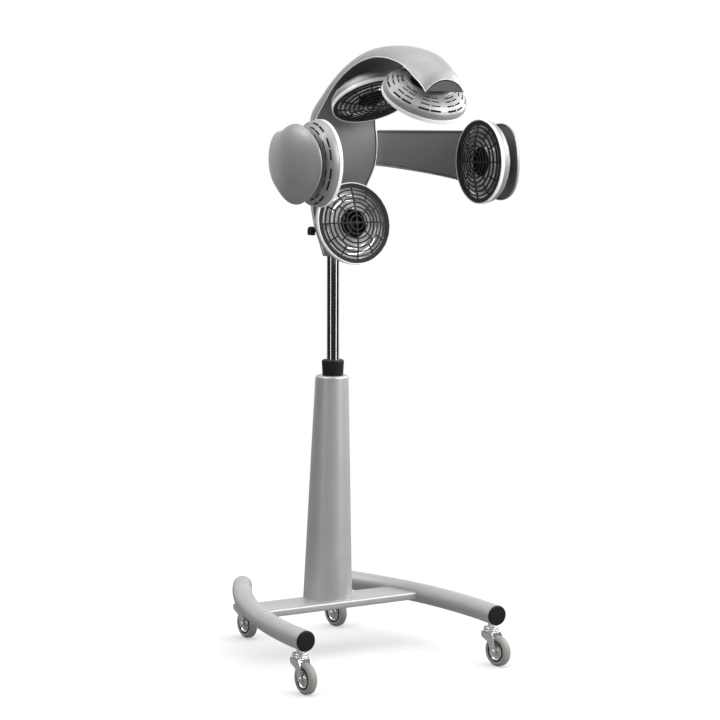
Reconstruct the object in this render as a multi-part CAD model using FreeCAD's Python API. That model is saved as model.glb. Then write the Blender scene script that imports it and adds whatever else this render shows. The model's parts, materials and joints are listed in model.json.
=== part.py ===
import FreeCAD, Part
import math
import os
from FreeCAD import Rotation, Vector

# Hair colour processor: a wheeled stand that carries a curved hood with five
# ring-lamp heads. Millimetres. Origin on the floor under the mast, +Z up,
# the client sits on the -Y side. X = 0 is the plane of symmetry.

# ---------------------------------------------------------------- base frame
TUBE_OD = 50.0
TUBE_WALL = 2.5
TUBE_HEIGHT = 127.0          # centre line above the floor
TUBE_FRONT_X = 267.5         # half the track at the front ends
TUBE_FRONT_Y = -346.0
TUBE_TOE = 2.3               # degrees, front ends turned in
TUBE_BEND_R = 1146.0
TUBE_SWEEP = 32.0            # degrees of arc from front to rear end
CAP_LIP = 4.0
CAP_PLUG = 16.0
CROSSBAR_DEPTH = 102.0
CROSSBAR_THICK = 18.0
CROSSBAR_TOP = 133.0
CROSSBAR_ROUND = 4.0

# ------------------------------------------------------------------- castors
WHEEL_R = 37.5
WHEEL_WIDTH = 24.0
HUB_R = 24.0
HUB_WIDTH = 20.0
AXLE_R = 4.0
CASTOR_TRAIL = 25.0
CASTOR_INSET = 26.0          # swivel axis from the tube end
FORK_CUP_R = 19.0
FORK_CUP_H = 13.0
FORK_TOP = 95.0
FORK_PLATE = 2.5
FORK_GAP = 29.0              # between the two fork legs
STEM_R = 5.0
STEM_NUT_R = 9.0
CASTOR_HEADINGS = {"front_left": -86.0, "front_right": -79.0, "rear_left": -86.0, "rear_right": -80.0}

# ------------------------------------------------------------ column and mast
COLUMN_FRONT_Y = -37.0       # the front line of the cover is upright
COLUMN_BOTTOM_R = 62.0
COLUMN_TOP_R = 41.5
COLUMN_TOP = 700.0
COLUMN_WALL = 2.5
SHOULDER = 6.0
PANEL_BOTTOM_HALF = 46.0
PANEL_TOP_HALF = 10.0
PANEL_BOTTOM = 145.0
PANEL_TOP = 640.0
PANEL_LAP = 6.0
GUIDE_OD = 40.0
GUIDE_ID = 36.0
GUIDE_NECK = 24.0            # guide tube above the column top
GUIDE_FLANGE_R = 34.0
GUIDE_FLANGE_T = 8.0
BUSH_LENGTH = 30.0
UPPER_BUSH_TOP = 690.0
LOWER_BUSH_TOP = 605.0
COLLAR_TOP_R = 28.0
COLLAR_BOTTOM_R = 26.0
COLLAR_HEIGHT = 39.0
MAST_OD = 32.0
MAST_WALL = 2.0
MAST_BOTTOM = 350.0
MAST_TOP = 1040.0
LIFT_EACH_WAY = 200.0        # travel of the mast up and down from mid height
SPRING_OD = 22.0
SPRING_ID = 18.0
SPRING_FLOOR = 6.0           # end wall at the foot of the gas spring
SPRING_HEAD = 10.0           # end wall that guides the rod
PISTON_T = 8.0
PISTON_MARGIN = 1.0          # between piston and end wall at each end of the travel
ROD_R = 4.0
ROD_STUD_R = 3.0
MAST_PLUG = 770.0            # underside of the plug that takes the rod
MAST_PLUG_T = 8.0
INLET_HEIGHT = 180.0
INLET_R = 9.0
INLET_FLANGE_R = 14.0

# ------------------------------------------------------------- tilt and hood
PIVOT_Y = 8.0
PIVOT_Z = 1061.0
TRUNNION_R = 8.0
BLOCK_HALF = 15.0
CHEEK_T = 4.0
CHEEK_GAP = 1.0
TRUNNION_PROUD = 2.0         # trunnion end beyond the cheek
WEB_GAP = 8.0                # from the cheeks' front edge to the web
WEB_T = 5.0
CHEEK_RISE = 40.0            # cheeks above the block of the tilt bracket
SLEEVE_R = 19.5
SLEEVE_BOTTOM = 1020.0
KNOB_R = 11.0                # half round top of the grip
KNOB_DROP = 10.5             # flat underside below the screw's axis
KNOB_ROUND = 2.0
KNOB_LENGTH = 11.0
KNOB_INNER_X = 52.0          # inner face of the grip, clear of the hood cover
KNOB_SCREW_R = 4.0
COVER_T = 3.0
INNER_T = 2.5
WRAP_DEPTH = 28.0            # inner cover bulge from which its section is a full arch
RIM_RECESS = 3.0             # the inner cover sits this far inside the rim
RIBBON_WIDTH = 36.0
RIBBON_T = 5.0
BADGE_T = 3.0
BADGE_RECESS = 1.0
PANEL_HALF_X = 34.0
PANEL_LOW_Z = 1205.0
PANEL_HIGH_Z = 1295.0
PANEL_BACK_Y = 12.0
PANEL_FACE_Y = 32.0
BUTTON_R = 8.0
BUTTON_TRAVEL = 3.0
BUTTON_PROUD = 4.0
BUTTON_Z = 1228.0

# One row per station of the hood, from the mast to the tip: rim (y, z), crown (y, z),
# half width, height of the inner cover, depth of the steel ribbon, and fullness of
# the section: 1 for upright sides, less for sides that lean in from the rim.
HOOD_STATIONS = (
    (0.0, 998.0, 28.5, 998.0, 24.0, -31.0, 12.0, 1.0),
    (-1.0, 1030.0, 30.0, 1030.0, 35.0, -32.0, 12.0, 1.0),
    (-2.0, 1062.0, 31.0, 1062.0, 48.0, -32.0, 13.0, 1.0),
    (-6.0, 1112.0, 32.0, 1112.0, 61.0, -28.0, 15.0, 1.0),
    (-36.0, 1170.0, 31.0, 1168.0, 75.0, -12.0, 39.0, 1.0),
    (-59.0, 1222.0, 29.0, 1218.0, 86.0, -4.0, 57.0, 1.0),
    (-66.0, 1280.0, 26.0, 1285.0, 88.0, 0.0, 62.0, 1.0),
    (-63.0, 1334.0, 14.0, 1360.0, 85.0, 3.0, 46.0, 1.0),
    (-90.0, 1372.0, -46.0, 1412.0, 79.0, 6.0, 34.0, 0.98),
    (-126.0, 1409.0, -94.0, 1445.0, 75.0, 8.0, 28.0, 0.94),
    (-175.0, 1441.0, -155.0, 1477.0, 73.0, 9.0, 24.0, 0.88),
    (-249.0, 1471.0, -240.0, 1504.0, 69.0, 9.0, 20.0, 0.8),
    (-310.0, 1480.5, -310.0, 1508.0, 66.0, 9.0, 18.5, 0.74),
    (-384.0, 1473.0, -391.0, 1500.0, 62.0, 9.0, 18.5, 0.68),
    (-429.0, 1459.0, -441.0, 1487.0, 60.0, 9.0, 18.5, 0.63),
    (-470.0, 1434.0, -486.0, 1464.0, 57.5, 8.0, 18.5, 0.59),
    (-501.0, 1413.0, -511.0, 1443.0, 55.0, 7.0, 18.5, 0.56),
    (-513.0, 1399.0, -520.0, 1428.5, 52.5, 5.0, 18.5, 0.54),
)
SECTION_COUNT = 3            # sections from one station to the next
RIBBON_SKIP_COUNT = 3        # stations before the steel ribbon starts
RIBBON_SPAN_COUNT = 12       # spans that it runs over

# --------------------------------------------------------------- lamp heads
FACE_R = 98.5
RING_R = 100.8
RING_DEPTH = 8.5
LIP_R = 96.0
LIP_T = 2.0
HOUSING_WALL = 2.5
NECK_R = 45.5                # air intake at the back of a head
NECK_BEAD_R = 54.5           # rounded collar round the intake
HEAD_DEPTH = 50.0
CARRIER_GAP = 56.0           # from a head's face to the pad that carries it
GRILLE_DOME = 15.0
GRILLE_T = 2.5
GRILLE_BAND_R = 88.0
HUB_EDGE = 6.5               # the guard's closed middle
RING_FIRST_R = 17.9          # centre line of the innermost ring
RING_PITCH = 10.65
RING_COUNT = 7
BAR_WIDTH = 3.4
SPOKE_COUNTS = (4, 4, 8, 8, 8, 12, 12, 12)
SLOT_ROWS = (93.2, 83.6, 73.0, 63.7)
SLOT_WIDTH = 4.0
SLOT_RIB = 19.0              # plain web between two groups of slots
SLOT_BRIDGE = 3.4            # narrow web in the middle of a group
SLOT_FLOOR = 20.0            # slots are cut from here to the back
SLOT_GROUPS = 8
LAMP_R = 66.0
LAMP_TUBE_R = 4.0
LAMP_S = 12.5
REFLECTOR_T = 1.2
REFLECTOR_FLOOR = 21.0
REFLECTOR_HOLE_R = 36.0
MOTOR_R = 14.0
MOTOR_FRONT = 34.0
MOTOR_BACK = 49.0
POST_R = 9.0
PAD_R = 12.0
ROTOR_R = 33.0
ROTOR_HUB_R = 12.0
ROTOR_DEPTH = 11.0
ROTOR_GAP = 1.0
ROTOR_BLADES = 7
ROTOR_SHAFT_R = 2.5

HEAD_TILTS = {"nape": 11.0, "back": -59.4, "front": -123.0}
HEAD_PLACES = {"nape": (-106.0, 1084.0), "back": (-194.0, 1379.0), "front": (-420.0, 1382.0)}
SIDE_HEAD_X = 215.0
SIDE_HEAD_Y = -326.0
SIDE_HEAD_Z = 1236.0

# ----------------------------------------------------------------- side arms
HINGE_X = 90.0
HINGE_Y = -20.0
HINGE_R = 8.0
HINGE_PIN_R = 4.0
KNUCKLE_LOW = 1243.0
KNUCKLE_HIGH = 1287.0
LUG_T = 6.0
LUG_ROOT = 15.0              # front edge of a lug on the plane of symmetry
LUG_ROOT_BACK = 3.0          # its back edge there
ARM_ROOT = (101.0, -30.0)
ARM_LEAD = (152.0, -40.0)
ARM_PULL = 73.5              # forward reach of the plan curve's last control leg
ARM_TOP = 1309.0
ARM_ROOT_BOTTOM = 1221.0
ARM_ENTRY_BOTTOM = 1177.0    # where the arm becomes the paddle
ARM_FALL = 1.45              # how late the lower edge falls
ARM_SWELL = 2.4              # how late the arm deepens
ARM_T = 2.5
ARM_ROOT_DEPTH = 14.0
ARM_STEPS = 10
PADDLE_X = 280.0             # rim of the paddle at its middle
PADDLE_Y = -322.5
PADDLE_Z = 1235.0
PADDLE_R = 94.0              # half height
PADDLE_HALF = 96.0           # half length
PADDLE_BOW = 15.2            # its rim curves in by this much at both ends
PADDLE_DEPTH = 32.0
PADDLE_TAPER = 0.4           # loss of depth towards the front end
PADDLE_FIRST = 30.0          # degrees round the paddle, from the hinge side
PADDLE_JOIN = 60.0           # from here on the lower edge is round
PADDLE_LAST = 155.0
PADDLE_STEPS = 20
NOSE_END = 176.0
NOSE_STEPS = 4
LINK_REACH = 6.0             # of the link past the root of the arm
LINK_INSET = 6.0             # the link is shorter than the knuckle at each end

RUNNING = 0.05               # radial clearance of a shaft in its hole
FREE = 0.3                   # clearance beside parts that only pass
ARCH_PULL = 4.0 / 3.0        # control point height of a cubic arch of height 1


def save(name, shape):
    """Write one sub-part to its own STEP file."""
    shape.exportStep("parts/" + name + ".step")


def cylinder(radius, base, height, direction=Vector(0, 0, 1)):
    return Part.makeCylinder(radius, height, base, direction)


def ring(outer, inner, base, height, direction=Vector(0, 0, 1)):
    """A tube from base, along direction."""
    start = base - direction * 1.0
    return cylinder(outer, base, height, direction).cut(cylinder(inner, start, height + 2.0, direction))


def box(low, high):
    size = high - low
    return Part.makeBox(size.x, size.y, size.z, low)


def revolved(profile):
    """Turn a closed (radius, height) outline about the Z axis."""
    points = [Vector(r, 0, z) for r, z in profile]
    wire = Part.makePolygon(points + points[:1])
    return Part.Face(wire).revolve(Vector(0, 0, 0), Vector(0, 0, 1), 360)


def mirrored(shape):
    """The same piece on the other side of X = 0."""
    return shape.mirror(Vector(0, 0, 0), Vector(1, 0, 0))


def moved(shape, origin, x_axis, z_axis):
    """A copy of shape with its own X and Z axes turned to the given ones."""
    y_axis = z_axis.cross(x_axis)
    copy = shape.copy()
    copy.Placement = FreeCAD.Placement(origin, Rotation(x_axis, y_axis, z_axis, "ZXY"))
    return copy


def offset_profile(points, distance):
    """Shift an open (r, z) polyline sideways by distance, keeping its corners sharp."""
    lines = []
    for (r0, z0), (r1, z1) in zip(points[:-1], points[1:]):
        length = math.hypot(r1 - r0, z1 - z0)
        nr = -(z1 - z0) / length * distance
        nz = (r1 - r0) / length * distance
        lines.append(((r0 + nr, z0 + nz), (r1 + nr, z1 + nz)))
    result = [lines[0][0]]
    for (a, b), (c, d) in zip(lines[:-1], lines[1:]):
        cross = (b[0] - a[0]) * (d[1] - c[1]) - (b[1] - a[1]) * (d[0] - c[0])
        t = ((c[0] - a[0]) * (d[1] - c[1]) - (c[1] - a[1]) * (d[0] - c[0])) / cross
        result.append((a[0] + t * (b[0] - a[0]), a[1] + t * (b[1] - a[1])))
    result.append(lines[-1][1])
    return result


# ------------------------------------------------------------------ the base
def tube_arc_centre():
    toe = math.radians(TUBE_TOE)
    x = -TUBE_FRONT_X + TUBE_BEND_R * math.cos(toe)
    y = TUBE_FRONT_Y + TUBE_BEND_R * math.sin(toe)
    return Vector(x, y, TUBE_HEIGHT)


def tube_station(degrees):
    """Point and forward direction of the left tube, degrees of arc behind its front end."""
    angle = math.radians(degrees - TUBE_TOE)
    centre = tube_arc_centre()
    point = centre + Vector(-math.cos(angle), math.sin(angle), 0) * TUBE_BEND_R
    forward = Vector(-math.sin(angle), -math.cos(angle), 0)
    return point, forward


def bent_rod(radius):
    """The left tube's path, filled to the given radius."""
    point, forward = tube_station(0.0)
    section = Part.Face(Part.Wire(Part.makeCircle(radius, point, forward)))
    return section.revolve(tube_arc_centre(), Vector(0, 0, -1), TUBE_SWEEP)


def base_tube():
    return bent_rod(TUBE_OD / 2).cut(bent_rod(TUBE_OD / 2 - TUBE_WALL))


def crossbar():
    half = Vector(TUBE_FRONT_X, CROSSBAR_DEPTH / 2, 0)
    bar = box(
        Vector(-half.x, -half.y, CROSSBAR_TOP - CROSSBAR_THICK),
        Vector(half.x, half.y, CROSSBAR_TOP),
    )
    long_edges = [e for e in bar.Edges if abs(e.tangentAt(e.FirstParameter).x) > 0.9]
    bar = bar.makeFillet(CROSSBAR_ROUND, long_edges)
    rod = bent_rod(TUBE_OD / 2)
    bar = bar.cut(rod).cut(mirrored(rod))
    return max(bar.Solids, key=lambda solid: solid.Volume)


def end_cap(degrees, outward):
    """A plug with a domed lip in one end of the left tube."""
    point, forward = tube_station(degrees)
    out = forward * outward
    radius = TUBE_OD / 2
    lip = Part.makeCone(radius, radius - CAP_LIP, CAP_LIP, point, out)
    plug = cylinder(radius - TUBE_WALL - FREE, point - out * CAP_PLUG, CAP_PLUG, out)
    return lip.fuse(plug)


def castor_axes():
    """Swivel axes, under the tubes and just inside their ends."""
    step = math.degrees(CASTOR_INSET / TUBE_BEND_R)
    front, _ = tube_station(step)
    rear, _ = tube_station(TUBE_SWEEP - step)
    return {
        "front_left": Vector(front.x, front.y, 0),
        "front_right": Vector(-front.x, front.y, 0),
        "rear_left": Vector(rear.x, rear.y, 0),
        "rear_right": Vector(-rear.x, rear.y, 0),
    }


def hexagon(radius, centre):
    corners = []
    for i in range(7):
        angle = math.radians(60 * i)
        corners.append(centre + Vector(radius * math.cos(angle), radius * math.sin(angle), 0))
    return Part.Face(Part.makePolygon(corners))


def castor_stem(axis):
    """Threaded stem with its nut, from inside the tube down into the fork's cup."""
    underside = TUBE_HEIGHT - TUBE_OD / 2
    bottom = FORK_TOP - FORK_CUP_H
    stem = cylinder(STEM_R, axis + Vector(0, 0, bottom), underside + 12.0 - bottom)
    nut_low = FORK_TOP + FREE
    nut = hexagon(STEM_NUT_R, axis + Vector(0, 0, nut_low)).extrude(Vector(0, 0, underside + 1.0 - nut_low))
    wall = left_tube()
    return stem.fuse(nut).cut(mirrored(wall) if axis.x > 0 else wall)


def left_tube():
    tube = base_tube()
    for name, axis in castor_axes().items():
        if name.endswith("left"):
            tube = tube.cut(cylinder(STEM_R, axis, TUBE_HEIGHT))
    return tube


def heading_vector(name):
    angle = math.radians(CASTOR_HEADINGS[name])
    return Vector(math.cos(angle), math.sin(angle), 0)


def castor_fork(name, axis):
    """Pressed fork: a cup that turns on the stem, and two legs down to the axle."""
    ahead = heading_vector(name)
    cup_base = FORK_TOP - FORK_CUP_H
    cup = Part.makeCylinder(FORK_CUP_R, FORK_CUP_H)
    cup = cup.makeFillet(3.0, [e for e in cup.Edges if e.BoundBox.ZMin > FORK_CUP_H - 0.1])
    cup = cup.translated(Vector(0, 0, cup_base))
    half_gap = FORK_GAP / 2
    eye = 9.0
    outline = [
        Vector(-FORK_CUP_R + 1.0, 0, cup_base + 1.0),
        Vector(FORK_CUP_R, 0, cup_base + 1.0),
        Vector(FORK_CUP_R + 4.0, 0, cup_base - 7.0),
        Vector(CASTOR_TRAIL + eye, 0, WHEEL_R),
        Vector(CASTOR_TRAIL + eye * 0.7, 0, WHEEL_R - eye * 0.7),
        Vector(CASTOR_TRAIL, 0, WHEEL_R - eye),
        Vector(CASTOR_TRAIL - eye * 0.7, 0, WHEEL_R - eye * 0.7),
        Vector(CASTOR_TRAIL - eye, 0, WHEEL_R),
        Vector(-FORK_CUP_R + 1.0, 0, cup_base - 12.0),
    ]
    leg = Part.Face(Part.makePolygon(outline + outline[:1])).extrude(Vector(0, FORK_PLATE, 0))
    bridge = box(
        Vector(-FORK_CUP_R + 1.0, -half_gap - FORK_PLATE, cup_base - 1.5),
        Vector(FORK_CUP_R, half_gap + FORK_PLATE, cup_base + 1.0),
    )
    fork = cup.fuse([
        leg.translated(Vector(0, half_gap, 0)),
        leg.translated(Vector(0, -half_gap - FORK_PLATE, 0)),
        bridge,
    ])
    axle = cylinder(AXLE_R, Vector(CASTOR_TRAIL, -half_gap - FORK_PLATE - 2.0, WHEEL_R),
                    FORK_GAP + 2 * FORK_PLATE + 4.0, Vector(0, 1, 0))
    stem_hole = cylinder(STEM_R + RUNNING, Vector(0, 0, cup_base - 3.0), FORK_CUP_H + 6.0)
    fork = fork.fuse(axle).cut(stem_hole)
    return moved(fork, axis, ahead, Vector(0, 0, 1))


def castor_wheel(name, axis):
    """Tyre and hub: two solids that roll together on the fork's axle."""
    half = WHEEL_WIDTH / 2
    hub_half = HUB_WIDTH / 2
    tyre = revolved([
        (HUB_R, -half + 3.0), (WHEEL_R - 5.0, -half), (WHEEL_R - 1.5, -half + 4.0), (WHEEL_R, -half + 8.0),
        (WHEEL_R, half - 8.0), (WHEEL_R - 1.5, half - 4.0), (WHEEL_R - 5.0, half), (HUB_R, half - 3.0),
    ])
    boss = AXLE_R + RUNNING
    hub = revolved([
        (boss, -hub_half - 1.5), (9.0, -hub_half - 1.5), (9.0, -hub_half + 3.0), (HUB_R - 3.0, -hub_half + 3.0),
        (HUB_R - 3.0, -hub_half + 1.0), (HUB_R, -hub_half + 1.0), (HUB_R, hub_half - 1.0),
        (HUB_R - 3.0, hub_half - 1.0), (HUB_R - 3.0, hub_half - 3.0), (9.0, hub_half - 3.0),
        (9.0, hub_half + 1.5), (boss, hub_half + 1.5),
    ])
    ahead = heading_vector(name)
    sideways = Vector(0, 0, 1).cross(ahead)
    centre = axis + ahead * CASTOR_TRAIL + Vector(0, 0, WHEEL_R)
    return moved(Part.makeCompound([tyre, hub]), centre, ahead, sideways)


# ------------------------------------------------------- column and lift gear
def column_ring(height, inset):
    """Outline of the column cover at a height: its front line stays upright."""
    share = (height - CROSSBAR_TOP) / (COLUMN_TOP - CROSSBAR_TOP)
    radius = COLUMN_BOTTOM_R + (COLUMN_TOP_R - COLUMN_BOTTOM_R) * share
    centre_y = COLUMN_FRONT_Y + radius
    return radius - inset, Vector(0, centre_y, height)


def column_form(inset, low, high):
    sections = []
    for height in (low, high - SHOULDER):
        radius, centre = column_ring(height, inset)
        sections.append(Part.Wire(Part.makeCircle(radius, centre)))
    for drop, shrink in ((SHOULDER * 0.25, SHOULDER * 0.35), (0.0, SHOULDER)):
        radius, centre = column_ring(high - drop, inset)
        sections.append(Part.Wire(Part.makeCircle(radius - shrink, centre)))
    return Part.makeLoft(sections, True, True)


def rear_wedge(extra):
    """Tapered strip behind the column: wide at its foot, narrow at its head."""
    low = PANEL_BOTTOM - extra
    high = PANEL_TOP + extra
    corners = [
        Vector(-PANEL_BOTTOM_HALF - extra, COLUMN_FRONT_Y + COLUMN_TOP_R, low),
        Vector(PANEL_BOTTOM_HALF + extra, COLUMN_FRONT_Y + COLUMN_TOP_R, low),
        Vector(PANEL_TOP_HALF + extra, COLUMN_FRONT_Y + COLUMN_TOP_R, high),
        Vector(-PANEL_TOP_HALF - extra, COLUMN_FRONT_Y + COLUMN_TOP_R, high),
    ]
    return Part.Face(Part.makePolygon(corners + corners[:1])).extrude(Vector(0, COLUMN_BOTTOM_R * 2, 0))


def column_shell():
    outer = column_form(0.0, CROSSBAR_TOP, COLUMN_TOP)
    inner = column_form(COLUMN_WALL, CROSSBAR_TOP, COLUMN_TOP - COLUMN_WALL)
    guide_hole = cylinder(GUIDE_OD / 2 + FREE, Vector(0, 0, CROSSBAR_TOP), COLUMN_TOP)
    return outer.cut(inner).cut(guide_hole)


def column_cover():
    return column_shell().cut(rear_wedge(FREE))


def mains_inlet():
    """Cable gland low on the rear panel: a threaded body with a flange outside."""
    _, centre = column_ring(INLET_HEIGHT, 0.0)
    radius, _ = column_ring(INLET_HEIGHT, 0.0)
    face_y = centre.y + radius
    rear = Vector(0, 1, 0)
    body = cylinder(INLET_R, Vector(0, face_y - 14.0, INLET_HEIGHT), 22.0, rear)
    flange = cylinder(INLET_FLANGE_R, Vector(0, face_y - 1.5, INLET_HEIGHT), 5.0, rear)
    bore = cylinder(INLET_R - 4.0, Vector(0, face_y - 16.0, INLET_HEIGHT), 30.0, rear)
    return body.fuse(flange).cut(bore)


def column_rear_panel():
    skin = column_shell().common(rear_wedge(0.0))
    outer = column_form(COLUMN_WALL, CROSSBAR_TOP, COLUMN_TOP - COLUMN_WALL)
    inner = column_form(COLUMN_WALL + 2.0, CROSSBAR_TOP - 1.0, COLUMN_TOP - COLUMN_WALL)
    lap = outer.cut(inner).common(rear_wedge(PANEL_LAP))
    gland = cylinder(INLET_R, Vector(0, 0, INLET_HEIGHT), 2 * COLUMN_BOTTOM_R, Vector(0, 1, 0))
    return skin.fuse(lap).cut(gland).cut(mains_inlet())


def guide_tube():
    flange = ring(GUIDE_FLANGE_R, GUIDE_ID / 2, Vector(0, 0, CROSSBAR_TOP), GUIDE_FLANGE_T)
    height = COLUMN_TOP + GUIDE_NECK - CROSSBAR_TOP
    return ring(GUIDE_OD / 2, GUIDE_ID / 2, Vector(0, 0, CROSSBAR_TOP), height).fuse(flange)


def mast_bushes():
    bushes = []
    for top in (UPPER_BUSH_TOP, LOWER_BUSH_TOP):
        base = Vector(0, 0, top - BUSH_LENGTH)
        bushes.append(ring(GUIDE_ID / 2, MAST_OD / 2 + RUNNING, base, BUSH_LENGTH))
    return Part.makeCompound(bushes)


def lock_collar():
    """Twist collar over the neck of the guide tube, gripping the mast."""
    base = COLUMN_TOP + FREE
    top = base + COLLAR_HEIGHT
    neck_top = COLUMN_TOP + GUIDE_NECK
    return revolved([
        (GUIDE_OD / 2 + RUNNING, base), (COLLAR_BOTTOM_R, base), (COLLAR_TOP_R, top - 4.0),
        (COLLAR_TOP_R - 1.2, top - 1.2), (COLLAR_TOP_R - 4.0, top), (MAST_OD / 2 + RUNNING, top),
        (MAST_OD / 2 + RUNNING, neck_top + 1.0), (GUIDE_OD / 2 + RUNNING, neck_top + 1.0),
    ])


def mast_tube():
    tube = ring(MAST_OD / 2, MAST_OD / 2 - MAST_WALL, Vector(0, 0, MAST_BOTTOM), MAST_TOP - MAST_BOTTOM)
    plug = ring(MAST_OD / 2 - MAST_WALL / 2, ROD_STUD_R, Vector(0, 0, MAST_PLUG), MAST_PLUG_T)
    return tube.fuse(plug)


def piston_bottom():
    """Underside of the piston with the mast at mid height."""
    return CROSSBAR_TOP + SPRING_FLOOR + PISTON_MARGIN + LIFT_EACH_WAY


def gas_spring_cylinder():
    foot = CROSSBAR_TOP
    chamber_top = piston_bottom() + PISTON_T + LIFT_EACH_WAY + PISTON_MARGIN
    top = chamber_top + SPRING_HEAD
    body = cylinder(SPRING_OD / 2, Vector(0, 0, foot), top - foot)
    chamber = cylinder(SPRING_ID / 2, Vector(0, 0, foot + SPRING_FLOOR), chamber_top - foot - SPRING_FLOOR)
    rod_hole = cylinder(ROD_R + RUNNING, Vector(0, 0, chamber_top - 1.0), SPRING_HEAD + 2.0)
    return body.cut(chamber).cut(rod_hole)


def gas_spring_rod():
    low = piston_bottom()
    piston = cylinder(SPRING_ID / 2 - RUNNING, Vector(0, 0, low), PISTON_T)
    rod = cylinder(ROD_R, Vector(0, 0, low), MAST_PLUG - low)
    stud = cylinder(ROD_STUD_R, Vector(0, 0, MAST_PLUG - 1.0), MAST_PLUG_T)
    return piston.fuse([rod, stud])


# ------------------------------------------------------------ tilt mechanism
def tilt_bracket():
    """Cap on the mast: a sleeve, a block and the two trunnions that the hood tilts on."""
    across = Vector(1, 0, 0)
    sleeve = cylinder(SLEEVE_R, Vector(0, 0, SLEEVE_BOTTOM), MAST_TOP - SLEEVE_BOTTOM + 3.0)
    block = box(
        Vector(-BLOCK_HALF, -BLOCK_HALF + 4.0, MAST_TOP),
        Vector(BLOCK_HALF, PIVOT_Y + BLOCK_HALF - 3.0, PIVOT_Z + BLOCK_HALF),
    )
    reach = BLOCK_HALF + CHEEK_GAP + CHEEK_T + TRUNNION_PROUD
    trunnions = cylinder(TRUNNION_R, Vector(-reach, PIVOT_Y, PIVOT_Z), 2 * reach, across)
    mast_hole = cylinder(MAST_OD / 2 + RUNNING, Vector(0, 0, SLEEVE_BOTTOM - 1.0), MAST_TOP - SLEEVE_BOTTOM + 1.0)
    screw_hole = cylinder(KNOB_SCREW_R + RUNNING, Vector(-reach - 1.0, PIVOT_Y, PIVOT_Z), reach - 7.0, across)
    return sleeve.fuse([block, trunnions]).cut(mast_hole).cut(screw_hole)


def tilt_knob():
    """Hand knob on the left, round above and flat below, with the screw that clamps the tilt."""
    outward = Vector(-1, 0, 0)
    side = Vector(KNOB_R, 0, 0)
    foot = Vector(0, -KNOB_DROP, 0)
    outline = Part.Wire([
        Part.Arc(side, Vector(0, KNOB_R, 0), -side).toShape(),
        Part.makeLine(-side, foot - side),
        Part.makeLine(foot - side, foot + side),
        Part.makeLine(foot + side, side),
    ])
    grip = Part.Face(outline).extrude(Vector(0, 0, KNOB_LENGTH))
    grip = grip.makeFillet(KNOB_ROUND, [e for e in grip.Edges if e.BoundBox.ZMin > KNOB_LENGTH - 0.1])
    grip = moved(grip, Vector(-KNOB_INNER_X, PIVOT_Y, PIVOT_Z), Vector(0, -1, 0), outward)
    screw_length = KNOB_INNER_X - 10.0
    screw = cylinder(KNOB_SCREW_R, Vector(-10.0, PIVOT_Y, PIVOT_Z), screw_length + 3.0, outward)
    return grip.fuse(screw)


# ----------------------------------------------------------------- the hood
def arch_wire(base, across, outward, half, height, fullness=1.0):
    """A cubic arch from -half to +half, standing height above its base line."""
    side = across * half
    pull = outward * (height * ARCH_PULL)
    curve = Part.BezierCurve()
    curve.setPoles([base - side, base - side * fullness + pull, base + side * fullness + pull, base + side])
    return curve.toShape()


def arch_band(centre, across, outward, half, height, thickness, fullness=1.0):
    """Closed outline of a thin arch: outer curve, foot, inner curve, foot."""
    outer = arch_wire(centre, across, outward, half, height, fullness)
    inner = arch_wire(centre, across, outward, half - thickness, height - thickness, fullness)
    a, b = outer.Vertexes[0].Point, outer.Vertexes[-1].Point
    c, d = inner.Vertexes[0].Point, inner.Vertexes[-1].Point
    return Part.Wire([outer, Part.makeLine(b, d), inner, Part.makeLine(c, a)])


def smooth_rows(rows, steps):
    """Rows on a smooth curve through the given ones, steps to a span, spaced by their first two columns."""
    gaps = [math.hypot(b[0] - a[0], b[1] - a[1]) for a, b in zip(rows[:-1], rows[1:])]
    secants = []
    for a, b, gap in zip(rows[:-1], rows[1:], gaps):
        secants.append([(q - p) / gap for p, q in zip(a, b)])
    slopes = [secants[0]]
    for before, after, g0, g1 in zip(secants[:-1], secants[1:], gaps[:-1], gaps[1:]):
        slopes.append([(p * g1 + q * g0) / (g0 + g1) for p, q in zip(before, after)])
    slopes.append(secants[-1])
    result = []
    for index, gap in enumerate(gaps):
        columns = list(zip(rows[index], rows[index + 1], slopes[index], slopes[index + 1]))
        for step in range(steps):
            t = step / steps
            start, end = (1 + 2 * t) * (1 - t) ** 2, t * t * (3 - 2 * t)
            leave, arrive = gap * t * (1 - t) ** 2, gap * t * t * (t - 1)
            result.append([start * a + end * b + leave * m + arrive * n for a, b, m, n in columns])
    result.append(list(rows[-1]))
    return result


def hood_rows():
    """Rim point, outward direction, depth, half width, inner height, ribbon depth and fullness along the hood."""
    rows = []
    for rim_y, rim_z, crown_y, crown_z, half, inner, ribbon, fullness in smooth_rows(HOOD_STATIONS, SECTION_COUNT):
        rim = Vector(0, rim_y, rim_z)
        depth = Vector(0, crown_y, crown_z) - rim
        rows.append((rim, depth / depth.Length, depth.Length, half, inner, ribbon, fullness))
    return rows


def hood_outer_cover():
    across = Vector(1, 0, 0)
    bands = [arch_band(rim, across, outward, half, depth, COVER_T, fullness)
             for rim, outward, depth, half, _, _, fullness in hood_rows()]
    return Part.makeLoft(bands, True, True)


def arch_half_at(half, height, level, fullness=1.0):
    """Half width of a cubic arch at a level above its base line."""
    t = (1 - math.sqrt(1 - level / height)) / 2
    return half * (1 - 2 * t) * (1 + (3 * fullness - 1) * t * (1 - t))


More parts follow.
